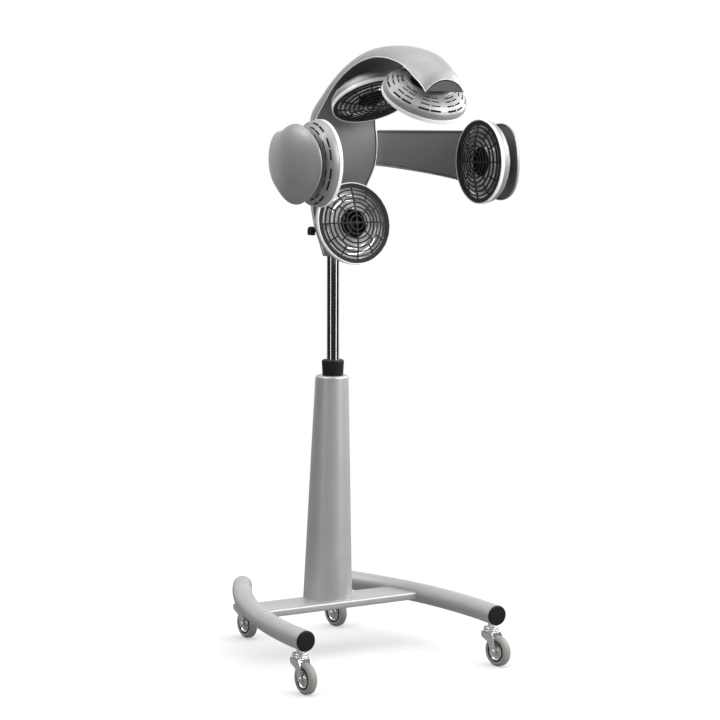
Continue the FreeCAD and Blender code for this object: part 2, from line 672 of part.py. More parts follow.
def inner_band(rim, outward, half, depth, height, fullness):
    """Outline of the inner cover: a low parabola that grows into a full arch round the mast."""
    across = Vector(1, 0, 0)
    reach = arch_half_at(half - COVER_T, depth - COVER_T, RIM_RECESS + INNER_T, fullness) - FREE
    wrap = min(1.0, max(0.0, -height / WRAP_DEPTH))
    curves = []
    for side, lift, rise in ((reach, RIM_RECESS, height),
                             (reach - INNER_T * wrap, RIM_RECESS + INNER_T * (1 - wrap), height + INNER_T * wrap)):
        base = rim + outward * lift
        pull = outward * (rise * ARCH_PULL)
        pole = side * (1 + 2 * wrap) / 3
        curve = Part.BezierCurve()
        curve.setPoles([base - across * side, base - across * pole + pull, base + across * pole + pull,
                        base + across * side])
        curves.append(curve.toShape())
    near, far = curves
    a, b = near.Vertexes[0].Point, near.Vertexes[-1].Point
    c, d = far.Vertexes[0].Point, far.Vertexes[-1].Point
    return Part.Wire([near, Part.makeLine(b, d), far, Part.makeLine(c, a)])


def tip_normal():
    """Unit vector that points out of the hood's front end."""
    outward = hood_rows()[-1][1]
    return Vector(1, 0, 0).cross(outward)


def hood_inner_form():
    bands = []
    rows = hood_rows()
    for index, (rim, outward, depth, half, height, _, fullness) in enumerate(rows):
        place = rim
        if index == len(rows) - 1:
            place = rim - tip_normal() * (BADGE_RECESS + BADGE_T)
        bands.append(inner_band(place, outward, half, depth, height, fullness))
    return Part.makeLoft(bands, True, True)


def hood_inner_cover():
    cover = hood_inner_form()
    for name in HEAD_TILTS:
        centre, back, _ = head_axes(name)
        cover = cover.cut(cylinder(PAD_R + FREE, centre + back * (HEAD_DEPTH - 2.0), 80.0, back))
    return cover


def badge_plate():
    """Bare D-shaped plate that closes the hood's front end."""
    rim, outward, depth, half, _, _, fullness = hood_rows()[-1]
    start = rim - tip_normal() * (BADGE_RECESS + BADGE_T)
    inset = COVER_T + FREE
    arch = arch_wire(start, Vector(1, 0, 0), outward, half - inset, depth - inset, fullness)
    chord = Part.makeLine(arch.Vertexes[-1].Point, arch.Vertexes[0].Point)
    return Part.Face(Part.Wire([arch, chord])).extrude(tip_normal() * BADGE_T)


def ribbon_section(centre, outward):
    """Outline of the steel ribbon inside the hood."""
    across = Vector(RIBBON_WIDTH / 2, 0, 0)
    thick = outward * (RIBBON_T / 2)
    corners = [centre - across - thick, centre + across - thick, centre + across + thick, centre - across + thick]
    return Part.makePolygon(corners + corners[:1])


def hinge_lug(low):
    """One of the two plates that hold a side arm's knuckle, right side."""
    eye_centre = Vector(HINGE_X, HINGE_Y, low)
    corners = [
        Vector(0, -LUG_ROOT, low),
        Vector(HINGE_X, HINGE_Y - HINGE_R, low),
        Vector(HINGE_X, HINGE_Y + HINGE_R, low),
        Vector(0, LUG_ROOT_BACK, low),
    ]
    arm = Part.Face(Part.makePolygon(corners + corners[:1])).extrude(Vector(0, 0, LUG_T))
    return arm.fuse(cylinder(HINGE_R, eye_centre, LUG_T))


def lug_heights():
    return KNUCKLE_LOW - FREE - LUG_T, KNUCKLE_HIGH + FREE


def hood_frame():
    """Steel frame: cheeks on the tilt pivot, a ribbon to the tip, arm lugs and head pads."""
    frame = Part.makeLoft([ribbon_section(centre, outward) for centre, outward in ribbon_line()], True, True)
    inner_x = BLOCK_HALF + CHEEK_GAP
    outer_x = inner_x + CHEEK_T
    front_y = cheek_front_y()
    back_y = PIVOT_Y + BLOCK_HALF - 2.0
    top_z = PIVOT_Z + BLOCK_HALF + CHEEK_RISE
    web_low = PIVOT_Z - TRUNNION_R
    cheek = box(Vector(inner_x, front_y, PIVOT_Z - BLOCK_HALF + 1.0), Vector(outer_x, back_y, top_z))
    web = box(Vector(-outer_x, front_y - WEB_GAP - WEB_T, web_low), Vector(outer_x, front_y - WEB_GAP, top_z))
    returns = box(Vector(inner_x, front_y - WEB_GAP - 1.0, web_low), Vector(outer_x, front_y + 1.0, top_z))
    cross = box(Vector(-outer_x, front_y - WEB_GAP - 1.0, top_z - 10.0), Vector(outer_x, back_y, top_z))
    pieces = [cheek, mirrored(cheek), web, returns, mirrored(returns), cross]
    for low in lug_heights():
        lug = hinge_lug(low)
        pieces += [lug, mirrored(lug)]
    for name in HEAD_TILTS:
        centre, back, _ = head_axes(name)
        pieces.append(cylinder(PAD_R, centre + back * CARRIER_GAP, pad_length(name), back))
    frame = frame.fuse(pieces)
    reach = outer_x + 1.0
    holes = [cylinder(TRUNNION_R + RUNNING, Vector(-reach, PIVOT_Y, PIVOT_Z), 2 * reach, Vector(1, 0, 0))]
    low, high = lug_heights()
    for side in (-1, 1):
        holes.append(cylinder(HINGE_PIN_R, Vector(side * HINGE_X, HINGE_Y, low - 1.0), high + LUG_T - low + 2.0))
    return frame.cut(Part.makeCompound(holes))


def cheek_front_y():
    return PIVOT_Y - BLOCK_HALF + 1.0


def ribbon_line():
    """Centre and outward direction of the steel ribbon at each of its sections."""
    first = RIBBON_SKIP_COUNT * SECTION_COUNT
    rows = hood_rows()[first:first + RIBBON_SPAN_COUNT * SECTION_COUNT + 1]
    return [(rim + outward * ribbon, outward) for rim, outward, _, _, _, ribbon, _ in rows]


def pad_length(name):
    """From a head's pad face back to the middle of the web or of the ribbon."""
    centre, back, _ = head_axes(name)
    face = centre + back * CARRIER_GAP
    if name == "nape":
        return (cheek_front_y() - WEB_GAP - WEB_T / 2 - face.y) / back.y
    lengths = []
    line = [point for point, _ in ribbon_line()]
    for start, end in zip(line[:-1], line[1:]):
        run = end - start
        gap = start - face
        turn = back.y * run.z - back.z * run.y
        along = (gap.y * run.z - gap.z * run.y) / turn
        share = (gap.y * back.z - gap.z * back.y) / turn
        if 0.0 <= share <= 1.0 and along > 0.0:
            lengths.append(along)
    return min(lengths)


def hinge_pins():
    low, high = lug_heights()
    pins = []
    for side in (-1, 1):
        base = Vector(side * HINGE_X, HINGE_Y, low - 1.0)
        pins.append(cylinder(HINGE_PIN_R, base, high + LUG_T - low + 2.0))
    return Part.makeCompound(pins)


def panel_block(grow):
    half = PANEL_HALF_X + grow
    block = box(
        Vector(-half, PANEL_BACK_Y - grow, PANEL_LOW_Z - grow),
        Vector(half, PANEL_FACE_Y + 2.0 * grow, PANEL_HIGH_Z + grow),
    )
    upright = [e for e in block.Edges if abs(e.tangentAt(e.FirstParameter).y) > 0.9]
    return block.makeFillet(8.0, upright)


def control_panel():
    bore = cylinder(BUTTON_R + RUNNING, Vector(0, button_back(), BUTTON_Z), 60.0, Vector(0, 1, 0))
    return panel_block(0.0).cut(bore)


def button_back():
    return PANEL_BACK_Y + 4.0


def power_button():
    back = button_back() + BUTTON_TRAVEL + 1.0
    return cylinder(BUTTON_R, Vector(0, back, BUTTON_Z), PANEL_FACE_Y + BUTTON_PROUD - back, Vector(0, 1, 0))


def hood_outer_with_cuts():
    """The outer cover with its openings for panel, arm lugs and knob screw."""
    cover = hood_outer_cover()
    cuts = [panel_block(0.0)]
    for low in lug_heights():
        for side in (-1, 1):
            x0, x1 = sorted((side * (HINGE_X - 30.0), side * (HINGE_X + HINGE_R)))
            cuts.append(box(
                Vector(x0, HINGE_Y - HINGE_R - 3.0, low - 1.0),
                Vector(x1, HINGE_Y + 2 * HINGE_R, low + LUG_T + 1.0),
            ))
    cuts.append(cylinder(KNOB_SCREW_R + 2.0, Vector(-80.0, PIVOT_Y, PIVOT_Z), 60.0, Vector(1, 0, 0)))
    for cut in cuts:
        cover = cover.cut(cut)
    return cover


# --------------------------------------------------------------- lamp heads
def head_axes(name):
    """Face centre, direction away from the client, and sideways direction of a head."""
    if name in HEAD_TILTS:
        tilt = math.radians(HEAD_TILTS[name])
        y, z = HEAD_PLACES[name]
        return Vector(0, y, z), Vector(0, math.cos(tilt), -math.sin(tilt)), Vector(1, 0, 0)
    side = -1.0 if name == "left" else 1.0
    return Vector(side * SIDE_HEAD_X, SIDE_HEAD_Y, SIDE_HEAD_Z), Vector(side, 0, 0), Vector(0, -side, 0)


def at_head(name, shape):
    centre, back, sideways = head_axes(name)
    return moved(shape, centre, sideways, back)


def sector(inner, outer, start, sweep, low, high):
    """Solid between two radii and two angles in degrees."""
    a = math.radians(start)
    b = math.radians(start + sweep)
    m = (a + b) / 2

    def at(radius, angle):
        return Vector(radius * math.cos(angle), radius * math.sin(angle), low)

    edges = [
        Part.Arc(at(outer, a), at(outer, m), at(outer, b)).toShape(),
        Part.makeLine(at(outer, b), at(inner, b)),
        Part.Arc(at(inner, b), at(inner, m), at(inner, a)).toShape(),
        Part.makeLine(at(inner, a), at(outer, a)),
    ]
    return Part.Face(Part.Wire(edges)).extrude(Vector(0, 0, high - low))


def housing_outline():
    """Outside of a head's housing from the ring back to the air intake."""
    return [
        (FACE_R + 1.0, RING_DEPTH), (FACE_R + 0.7, 15.0), (FACE_R - 0.9, 21.0), (93.2, 27.5), (83.6, 35.2),
        (73.0, 39.8), (63.7, 43.3), (NECK_BEAD_R + 3.0, 45.3), (NECK_BEAD_R, HEAD_DEPTH - 1.4),
        (NECK_BEAD_R - 3.5, HEAD_DEPTH), (NECK_R, HEAD_DEPTH),
    ]


def housing():
    outside = housing_outline()
    inside = offset_profile(outside, HOUSING_WALL)
    inside[0] = (inside[0][0], RING_DEPTH)
    inside[-1] = (NECK_R, inside[-1][1])
    shell = revolved(outside + inside[::-1])
    slots = []
    for group in range(SLOT_GROUPS):
        middle = 360.0 / SLOT_GROUPS * (group + 0.5)
        for radius in SLOT_ROWS:
            bridge = math.degrees(math.asin(SLOT_BRIDGE / 2 / radius))
            sweep = 180.0 / SLOT_GROUPS - math.degrees(math.asin(SLOT_RIB / 2 / radius)) - bridge
            inner, outer = radius - SLOT_WIDTH / 2, radius + SLOT_WIDTH / 2
            for start in (middle + bridge, middle - bridge - sweep):
                slots.append(sector(inner, outer, start, sweep, SLOT_FLOOR, HEAD_DEPTH))
    return shell.cut(Part.makeCompound(slots))


def bezel():
    lip_front = RING_DEPTH - LIP_T
    return revolved([
        (FACE_R, -0.5), (RING_R - 0.7, -0.5), (RING_R, 0.4), (RING_R, RING_DEPTH), (LIP_R, RING_DEPTH),
        (LIP_R, lip_front), (FACE_R, lip_front),
    ])


def grille():
    """Domed guard: rings and spokes cut from a shallow ball cap, in a flat outer band."""
    edge = GRILLE_BAND_R + 2.0
    ball = (edge ** 2 + GRILLE_DOME ** 2) / (2 * GRILLE_DOME)
    centre = Vector(0, 0, ball - GRILLE_DOME)
    shell = Part.makeSphere(ball, centre).cut(Part.makeSphere(ball - GRILLE_T, centre))
    shell = shell.common(cylinder(edge, Vector(0, 0, -GRILLE_DOME - 1.0), 2 * GRILLE_DOME))
    cells = []
    rings = [RING_FIRST_R + RING_PITCH * index for index in range(RING_COUNT)]
    inner_edges = [HUB_EDGE] + [radius + BAR_WIDTH / 2 for radius in rings]
    outer_edges = [radius - BAR_WIDTH / 2 for radius in rings] + [GRILLE_BAND_R]
    for inner, outer, spokes in zip(inner_edges, outer_edges, SPOKE_COUNTS):
        half_bar = math.degrees(math.asin(BAR_WIDTH / (inner + outer)))
        for spoke in range(spokes):
            start = 360.0 / spokes * spoke + half_bar
            cells.append(sector(inner, outer, start, 360.0 / spokes - 2 * half_bar, -30.0, 30.0))
    shell = shell.cut(Part.makeCompound(cells))
    lip_front = RING_DEPTH - LIP_T
    band = revolved([
        (GRILLE_BAND_R, 0.0), (FACE_R - 0.2, 0.0), (FACE_R - 0.2, lip_front), (FACE_R - 2.2, lip_front),
        (FACE_R - 2.2, 3.0), (GRILLE_BAND_R, 3.0),
    ])
    return shell.fuse(band)


def reflector_outline():
    return [
        (LIP_R + 0.5, RING_DEPTH), (92.0, RING_DEPTH), (87.0, 15.0), (LAMP_R + 9.0, REFLECTOR_FLOOR),
        (LAMP_R - 9.0, REFLECTOR_FLOOR), (REFLECTOR_HOLE_R + 7.0, 14.0), (REFLECTOR_HOLE_R, 6.0),
    ]


def reflector():
    front = reflector_outline()
    back = offset_profile(front, -REFLECTOR_T)
    back[0] = (front[0][0], back[0][1])
    return revolved(front + back[::-1])


def lamp():
    """Ring-shaped heating lamp standing on three ceramic feet."""
    tube = Part.makeTorus(LAMP_R, LAMP_TUBE_R, Vector(0, 0, LAMP_S))
    feet = []
    for i in range(3):
        angle = math.radians(120.0 * i + 60.0)
        foot = Vector(LAMP_R * math.cos(angle), LAMP_R * math.sin(angle), LAMP_S)
        feet.append(cylinder(LAMP_TUBE_R + 1.5, foot, REFLECTOR_FLOOR - LAMP_S))
    return tube.fuse(feet)


def fan_motor():
    """Motor on a three-legged spider, with the post that carries the whole head."""
    body = cylinder(MOTOR_R, Vector(0, 0, MOTOR_FRONT), MOTOR_BACK - MOTOR_FRONT)
    post = cylinder(POST_R, Vector(0, 0, MOTOR_BACK - 1.0), CARRIER_GAP - MOTOR_BACK + 1.0)
    seat = offset_profile(housing_outline(), HOUSING_WALL)[-1][1]
    legs = []
    for i in range(3):
        leg = box(Vector(0, -3.5, seat - 3.0), Vector(NECK_R + 4.0, 3.5, seat))
        leg.rotate(Vector(0, 0, 0), Vector(0, 0, 1), 120.0 * i + 30.0)
        legs.append(leg)
    shaft_hole = cylinder(ROTOR_SHAFT_R + RUNNING, Vector(0, 0, MOTOR_FRONT - 1.0), 10.0)
    return body.fuse([post] + legs).cut(shaft_hole)


def fan_rotor():
    """Axial fan: hub, pitched blades and the shaft that enters the motor."""
    back = MOTOR_FRONT - ROTOR_GAP
    front = back - ROTOR_DEPTH
    hub = cylinder(ROTOR_HUB_R, Vector(0, 0, front), ROTOR_DEPTH)
    blades = []
    for i in range(ROTOR_BLADES):
        blade = box(Vector(ROTOR_HUB_R - 2.0, -6.5, -0.8), Vector(ROTOR_R, 6.5, 0.8))
        blade.rotate(Vector(0, 0, 0), Vector(1, 0, 0), 35.0)
        blade.translate(Vector(0, 0, (front + back) / 2))
        blade.rotate(Vector(0, 0, 0), Vector(0, 0, 1), 360.0 / ROTOR_BLADES * i)
        blades.append(blade)
    shaft = cylinder(ROTOR_SHAFT_R, Vector(0, 0, back - 1.0), 8.0)
    return hub.fuse(blades + [shaft])


# ----------------------------------------------------------------- side arms
def paddle_rim(angle):
    """Rim point and outward direction of the right paddle in plan, at an angle round it."""
    share = math.cos(angle)
    slope = 2 * PADDLE_BOW / PADDLE_HALF * share
    point = Vector(PADDLE_X - PADDLE_BOW * share ** 2, PADDLE_Y + PADDLE_HALF * share, 0)
    return point, Vector(1.0, slope, 0).normalize()


def arm_plan(t):
    """Rim point and outward direction of the right arm in plan, t from hinge 0 to paddle 1."""
    end, outward = paddle_rim(0.0)
    lead = (end.x - ARM_PULL * outward.y / outward.x, end.y + ARM_PULL)
    poles = [ARM_ROOT, ARM_LEAD, lead, (end.x, end.y)]
    weights = ((1 - t) ** 3, 3 * t * (1 - t) ** 2, 3 * t * t * (1 - t), t ** 3)
    slopes = (-3 * (1 - t) ** 2, 3 * (1 - t) * (1 - 3 * t), 3 * t * (2 - 3 * t), 3 * t * t)
    x = sum(w * p[0] for w, p in zip(weights, poles))
    y = sum(w * p[1] for w, p in zip(weights, poles))
    dx = sum(w * p[0] for w, p in zip(slopes, poles))
    dy = sum(w * p[1] for w, p in zip(slopes, poles))
    along = Vector(dx, dy, 0).normalize()
    return Vector(x, y, 0), Vector(-along.y, along.x, 0)


def paddle_station(degrees):
    """Rim point, outward direction, low and high edge and depth of the arch at an angle round the paddle."""
    angle = math.radians(degrees)
    point, outward = paddle_rim(angle)
    reach = PADDLE_R * math.sin(angle)
    low = PADDLE_Z - reach
    high = PADDLE_Z + reach
    depth = PADDLE_DEPTH * math.sin(angle) * (1 + PADDLE_TAPER * math.cos(angle))
    if degrees < 90.0:
        depth = PADDLE_DEPTH
        high = max(high, ARM_TOP)
    if degrees < PADDLE_JOIN:
        join = math.radians(PADDLE_JOIN)
        share = (1 - math.cos(angle)) / (1 - math.cos(join))
        fall = ARM_ENTRY_BOTTOM - PADDLE_Z + PADDLE_R * math.sin(join)
        low = ARM_ENTRY_BOTTOM - fall * share ** 1.2
    return point, outward, low, high, depth


def arm_stations():
    """Rim point, outward direction, low and high edge and depth of the arch, hinge to paddle end."""
    rows = []
    for step in range(ARM_STEPS + 1):
        t = step / ARM_STEPS
        point, outward = arm_plan(t)
        low = ARM_ROOT_BOTTOM - (ARM_ROOT_BOTTOM - ARM_ENTRY_BOTTOM) * t ** ARM_FALL
        depth = ARM_ROOT_DEPTH + (PADDLE_DEPTH - ARM_ROOT_DEPTH) * t ** ARM_SWELL
        rows.append((point, outward, low, ARM_TOP, depth))
    for step in range(PADDLE_STEPS + 1):
        rows.append(paddle_station(PADDLE_FIRST + (PADDLE_LAST - PADDLE_FIRST) * step / PADDLE_STEPS))
    return rows


def arm_outer_cover():
    """Outer shell of the right arm, swelling into the paddle behind the head, with a solid nose."""
    up = Vector(0, 0, 1)
    bands = []
    for point, outward, low, high, depth in arm_stations():
        bands.append(arch_band(point + up * ((low + high) / 2), up, outward, (high - low) / 2, depth, ARM_T))
    ends = []
    for step in range(NOSE_STEPS + 1):
        degrees = PADDLE_LAST + (NOSE_END - PADDLE_LAST) * step / NOSE_STEPS
        point, outward, low, high, depth = paddle_station(degrees)
        arch = arch_wire(point + up * ((low + high) / 2), up, outward, (high - low) / 2, depth)
        chord = Part.makeLine(arch.Vertexes[-1].Point, arch.Vertexes[0].Point)
        ends.append(Part.Wire([arch, chord]))
    return Part.makeLoft(bands, True, True).fuse(Part.makeLoft(ends, True, True))


def arm_inner_cover():
    """Inner shell of the right arm with its knuckle and the pad that carries the head."""
    up = Vector(0, 0, 1)
    sections = []
    for point, outward, low, high, depth in arm_stations():
        half = (high - low) / 2
        middle = point + up * ((low + high) / 2)
        recess = RIM_RECESS * min(1.0, 2 * depth / PADDLE_DEPTH)
        reach = up * (arch_half_at(half - ARM_T, depth - ARM_T, recess + INNER_T) - FREE)
        near = middle + outward * recess
        far = near + outward * INNER_T
        sections.append(Part.makePolygon([near - reach, near + reach, far + reach, far - reach, near - reach]))
    panel = Part.makeLoft(sections, True, True)
    knuckle = cylinder(HINGE_R, Vector(HINGE_X, HINGE_Y, KNUCKLE_LOW), KNUCKLE_HIGH - KNUCKLE_LOW)
    link = box(
        Vector(HINGE_X, HINGE_Y - HINGE_R, KNUCKLE_LOW + LINK_INSET),
        Vector(ARM_ROOT[0] + LINK_REACH, HINGE_Y - 1.5, KNUCKLE_HIGH - LINK_INSET),
    )
    centre, back, _ = head_axes("right")
    pad = cylinder(PAD_R, centre + back * CARRIER_GAP, PADDLE_X - centre.x - CARRIER_GAP + RIM_RECESS + 1.0, back)
    pin_hole = cylinder(HINGE_PIN_R + RUNNING, Vector(HINGE_X, HINGE_Y, KNUCKLE_LOW - 1.0), 100.0)
    return panel.fuse([knuckle, link, pad]).cut(pin_hole)


# ------------------------------------------------------------- write it all
def main():
    os.makedirs("parts", exist_ok=True)
    tube = left_tube()
    save("left_base_tube", tube)
    save("right_base_tube", mirrored(tube))
    save("crossbar", crossbar())
    caps = [end_cap(0.0, 1.0), end_cap(TUBE_SWEEP, -1.0)]
    save("tube_end_caps", Part.makeCompound(caps + [mirrored(cap) for cap in caps]))
    axes = castor_axes()
    save("castor_stems", Part.makeCompound([castor_stem(axis) for axis in axes.values()]))
    for name, axis in axes.items():
        save(name + "_fork", castor_fork(name, axis))
        save(name + "_wheel", castor_wheel(name, axis))

    save("column_cover", column_cover())
    save("column_rear_panel", column_rear_panel())
    save("mains_inlet", mains_inlet())
    save("guide_tube", guide_tube())
    save("mast_bushes", mast_bushes())
    save("gas_spring_cylinder", gas_spring_cylinder())
    save("lock_collar", lock_collar())
    save("mast_tube", mast_tube())
    save("gas_spring_rod", gas_spring_rod())
    save("tilt_bracket", tilt_bracket())
    save("tilt_knob", tilt_knob())

    save("hood_outer_cover", hood_outer_with_cuts())
    save("hood_inner_cover", hood_inner_cover())
    save("hood_frame", hood_frame())
    save("badge_plate", badge_plate())
    save("control_panel", control_panel())
    save("power_button", power_button())
    save("arm_hinge_pins", hinge_pins())

    case, ring_piece, guard = housing(), bezel(), grille()
    mirror_dish, bulb, motor, rotor = reflector(), lamp(), fan_motor(), fan_rotor()
    hood_heads = list(HEAD_TILTS)
    for name in hood_heads + ["left", "right"]:
        save(name + "_housing", at_head(name, case))
        save(name + "_fan_rotor", at_head(name, rotor))
    for label, piece in (("bezel", ring_piece), ("grille", guard), ("reflector", mirror_dish),
                         ("lamp", bulb), ("fan_motor", motor)):
        save("hood_" + label + "s", Part.makeCompound([at_head(name, piece) for name in hood_heads]))
        for name in ("left", "right"):
            save(name + "_" + label, at_head(name, piece))

    shell, inside = arm_outer_cover(), arm_inner_cover()
    save("right_arm_outer_cover", shell)
    save("left_arm_outer_cover", mirrored(shell))
    save("right_arm_inner_cover", inside)
    save("left_arm_inner_cover", mirrored(inside))


main()
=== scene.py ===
# %% [markdown]
# # A salon hair processor, dressed for its portrait
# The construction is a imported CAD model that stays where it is. This lesson
# builds what the eye sees: smooth covers, turned rings, pierced guards and the
# finishes. Lengths are in millimetres until a mesh is made.

# %% Load the frame
import bmesh
import bpy
import json
import math
import numpy as np
from mathutils import Matrix, Vector


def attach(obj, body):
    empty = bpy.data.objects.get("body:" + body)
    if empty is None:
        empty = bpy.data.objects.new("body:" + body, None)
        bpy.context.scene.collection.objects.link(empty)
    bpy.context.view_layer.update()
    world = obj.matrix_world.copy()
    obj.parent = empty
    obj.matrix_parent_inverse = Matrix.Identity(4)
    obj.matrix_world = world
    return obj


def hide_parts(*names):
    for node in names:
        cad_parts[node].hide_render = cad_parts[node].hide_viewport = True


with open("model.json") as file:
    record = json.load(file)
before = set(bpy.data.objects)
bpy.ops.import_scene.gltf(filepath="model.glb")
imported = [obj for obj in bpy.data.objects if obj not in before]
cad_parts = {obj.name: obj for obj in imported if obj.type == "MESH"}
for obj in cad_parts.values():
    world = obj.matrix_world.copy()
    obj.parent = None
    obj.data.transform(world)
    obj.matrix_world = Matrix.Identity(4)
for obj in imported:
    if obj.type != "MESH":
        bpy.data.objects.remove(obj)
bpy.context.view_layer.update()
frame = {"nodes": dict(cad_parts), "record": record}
MM = 0.001

# %% [markdown]
# ## Camera
# The view is from the client's left, a little above the hood, through a long
# lens. A camera looks along its own -Z axis, so its matrix is built from the
# right, up and backward directions.

# %% Camera
VIEW_YAW, VIEW_PITCH, VIEW_ROLL = (math.radians(angle) for angle in (-30.199, 6.479, 0.165))
VIEW_DISTANCE, VIEW_SHIFT, VIEW_HEIGHT = 5472.63, 67.78, 1359.6   # back, to the right, and up
VIEW_LENS, VIEW_SENSOR, VIEW_END = 110.33, 36.0, 50.0

AHEAD = Vector((-math.sin(VIEW_YAW), math.cos(VIEW_YAW), 0))
RIGHT = Vector((math.cos(VIEW_YAW), math.sin(VIEW_YAW), 0))
UP = Vector((0, 0, 1))


def camera_matrix():
    """Right, up and backward directions of the camera, and where it stands."""
    forward = AHEAD * math.cos(VIEW_PITCH) - UP * math.sin(VIEW_PITCH)
    up = UP * math.cos(VIEW_PITCH) + AHEAD * math.sin(VIEW_PITCH)
    across = RIGHT * math.cos(VIEW_ROLL) + up * math.sin(VIEW_ROLL)
    upright = up * math.cos(VIEW_ROLL) - RIGHT * math.sin(VIEW_ROLL)
    matrix = Matrix((across, upright, -forward)).transposed().to_4x4()
    matrix.translation = (RIGHT * VIEW_SHIFT - AHEAD * VIEW_DISTANCE + UP * VIEW_HEIGHT) * MM
    return matrix


def new_object(name, data):
    """An object that shows the given mesh, lamp or camera, linked to the scene."""
    thing = bpy.data.objects.new(name, data)
    bpy.context.scene.collection.objects.link(thing)
    return thing


lens = bpy.data.cameras.new("portrait_camera")
lens.lens = VIEW_LENS
lens.sensor_width = VIEW_SENSOR
lens.clip_end = VIEW_END
camera = new_object("portrait_camera", lens)
camera.matrix_world = camera_matrix()
bpy.context.scene.camera = camera

# %% [markdown]
# ## Surfaces from arrays
# Nearly every visible piece is a grid of points: a profile turned about an
# axis, or a section carried along a path. A part is a pair of arrays, points
# and faces, and parts are stacked before a mesh is made of them.


# %% Grids and parts
def joined(*columns):
    """Coordinates as the last axis of one array, each spread to the shape of all."""
    return np.stack(np.broadcast_arrays(*columns), -1)


def unit(vectors):
    """Vectors of length 1."""
    return vectors / np.linalg.norm(vectors, axis=-1, keepdims=True)


def grid_part(points, close_rows=False, close_columns=False):
    """Points (rows, columns, 3) with a quad in each cell, wrapped round where closed."""
    rows, columns = points.shape[:2]
    i, j = np.meshgrid(np.arange(rows if close_rows else rows - 1),
                       np.arange(columns if close_columns else columns - 1), indexing="ij")
    i2, j2 = (i + 1) % rows, (j + 1) % columns
    corners = [i * columns + j, i * columns + j2, i2 * columns + j2, i2 * columns + j]
    return points.reshape(-1, 3), joined(*corners).reshape(-1, 4)


def stacked(*parts):
    """Several parts as one."""
    starts = np.cumsum([0] + [len(p[0]) for p in parts[:-1]])
    return (np.concatenate([p for p, _ in parts]),
            np.concatenate([f + start for (_, f), start in zip(parts, starts)]))


def placed(part, origin, x_axis=(1, 0, 0), z_axis=(0, 0, 1)):
    """A part moved from its own axes to the given ones."""
    x, z = np.array(x_axis, float), np.array(z_axis, float)
    turn = np.stack([x, np.cross(z, x), z])
    return part[0] @ turn + np.array(origin, float), part[1]


def mirrored(part):
    """The same part on the other side of X = 0."""
    return part[0] * np.array([-1.0, 1.0, 1.0]), part[1][:, ::-1]


def shell_part(near, far, keep=None, wrap=False):
    """Closed shell between two grids, walled at its border and round every cell left out by keep."""
    rows, columns = near.shape[:2]
    index = np.arange(rows * columns).reshape(rows, columns)
    if wrap:
        index = np.concatenate([index, index[:, :1]], axis=1)
    a, b, c, d = index[:-1, :-1], index[:-1, 1:], index[1:, 1:], index[1:, :-1]
    if keep is None:
        keep = np.ones(a.shape, bool)
    gap = np.pad(~keep, 1, constant_values=True)
    if wrap:
        gap[1:-1, 0], gap[1:-1, -1] = ~keep[:, -1], ~keep[:, 0]
    beside = (gap[:-2, 1:-1], gap[1:-1, 2:], gap[2:, 1:-1], gap[1:-1, :-2])
    cells = joined(a, b, c, d)[keep]
    behind = rows * columns
    faces = [cells, cells[:, ::-1] + behind]
    for empty, p, q in zip(beside, (a, b, c, d), (b, c, d, a)):
        edge = keep & empty
        faces.append(joined(q[edge], p[edge], p[edge] + behind, q[edge] + behind))
    return np.concatenate([near.reshape(-1, 3), far.reshape(-1, 3)]), np.concatenate(faces)


# %% [markdown]
# Merging doubles closes the seam and the poles of a turned grid. The normals of a
# closed piece are then worked out again; a piece with a wall keeps its grid's facing.


# %% From parts to pieces
CRISP_ANGLE, BEVEL_ANGLE = math.radians(32.0), math.radians(40.0)
MERGED, TINY = 2e-6, 1e-7   # metres between points that are one, and shortest edge


def new_mesh(name, part, closed):
    """Mesh of a part in metres, with merged doubles and, when closed, its normals outwards."""
    mesh = bpy.data.meshes.new(name)
    mesh.from_pydata((part[0] * MM).tolist(), [], part[1].tolist())
    work = bmesh.new()
    work.from_mesh(mesh)
    bmesh.ops.remove_doubles(work, verts=work.verts, dist=MERGED)
    bmesh.ops.dissolve_degenerate(work, edges=work.edges, dist=TINY)
    bmesh.ops.delete(work, geom=[v for v in work.verts if not v.link_faces], context="VERTS")
    if closed:
        bmesh.ops.recalc_face_normals(work, faces=work.faces)
    work.to_mesh(mesh)
    work.free()
    return mesh


def piece(name, part, body, slot, replaces, wall=0.0, bevel=0.0):
    """A finished piece on its body, with a wall inwards and bevels if asked, in place of some CAD nodes."""
    mesh = new_mesh(name, part, closed=not wall)
    mesh.polygons.foreach_set("use_smooth", np.ones(len(mesh.polygons), bool))
    mesh.set_sharp_from_angle(angle=CRISP_ANGLE)
    mesh.materials.append(FINISHES[slot])
    thing = new_object(name, mesh)
    if wall:
        solid = thing.modifiers.new("wall", "SOLIDIFY")
        solid.thickness = wall * MM
        solid.offset = -1.0
        solid.use_even_offset = True
    if bevel:
        soft = thing.modifiers.new("soft_edges", "BEVEL")
        soft.width = bevel * MM
        soft.segments = 2
        soft.limit_method = "ANGLE"
        soft.angle_limit = BEVEL_ANGLE
        soft.harden_normals = True
    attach(thing, body)
    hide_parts(*replaces)


# %% [markdown]
# ## Profiles
# Moulded and turned pieces have no knife edges. A profile is written as corners
# with a radius each, and every corner becomes a short arc tangent to its sides.


# %% Rounded profiles, turning and plates
SIDE_SHARE = 0.49   # of a side, the most that one corner's arc takes


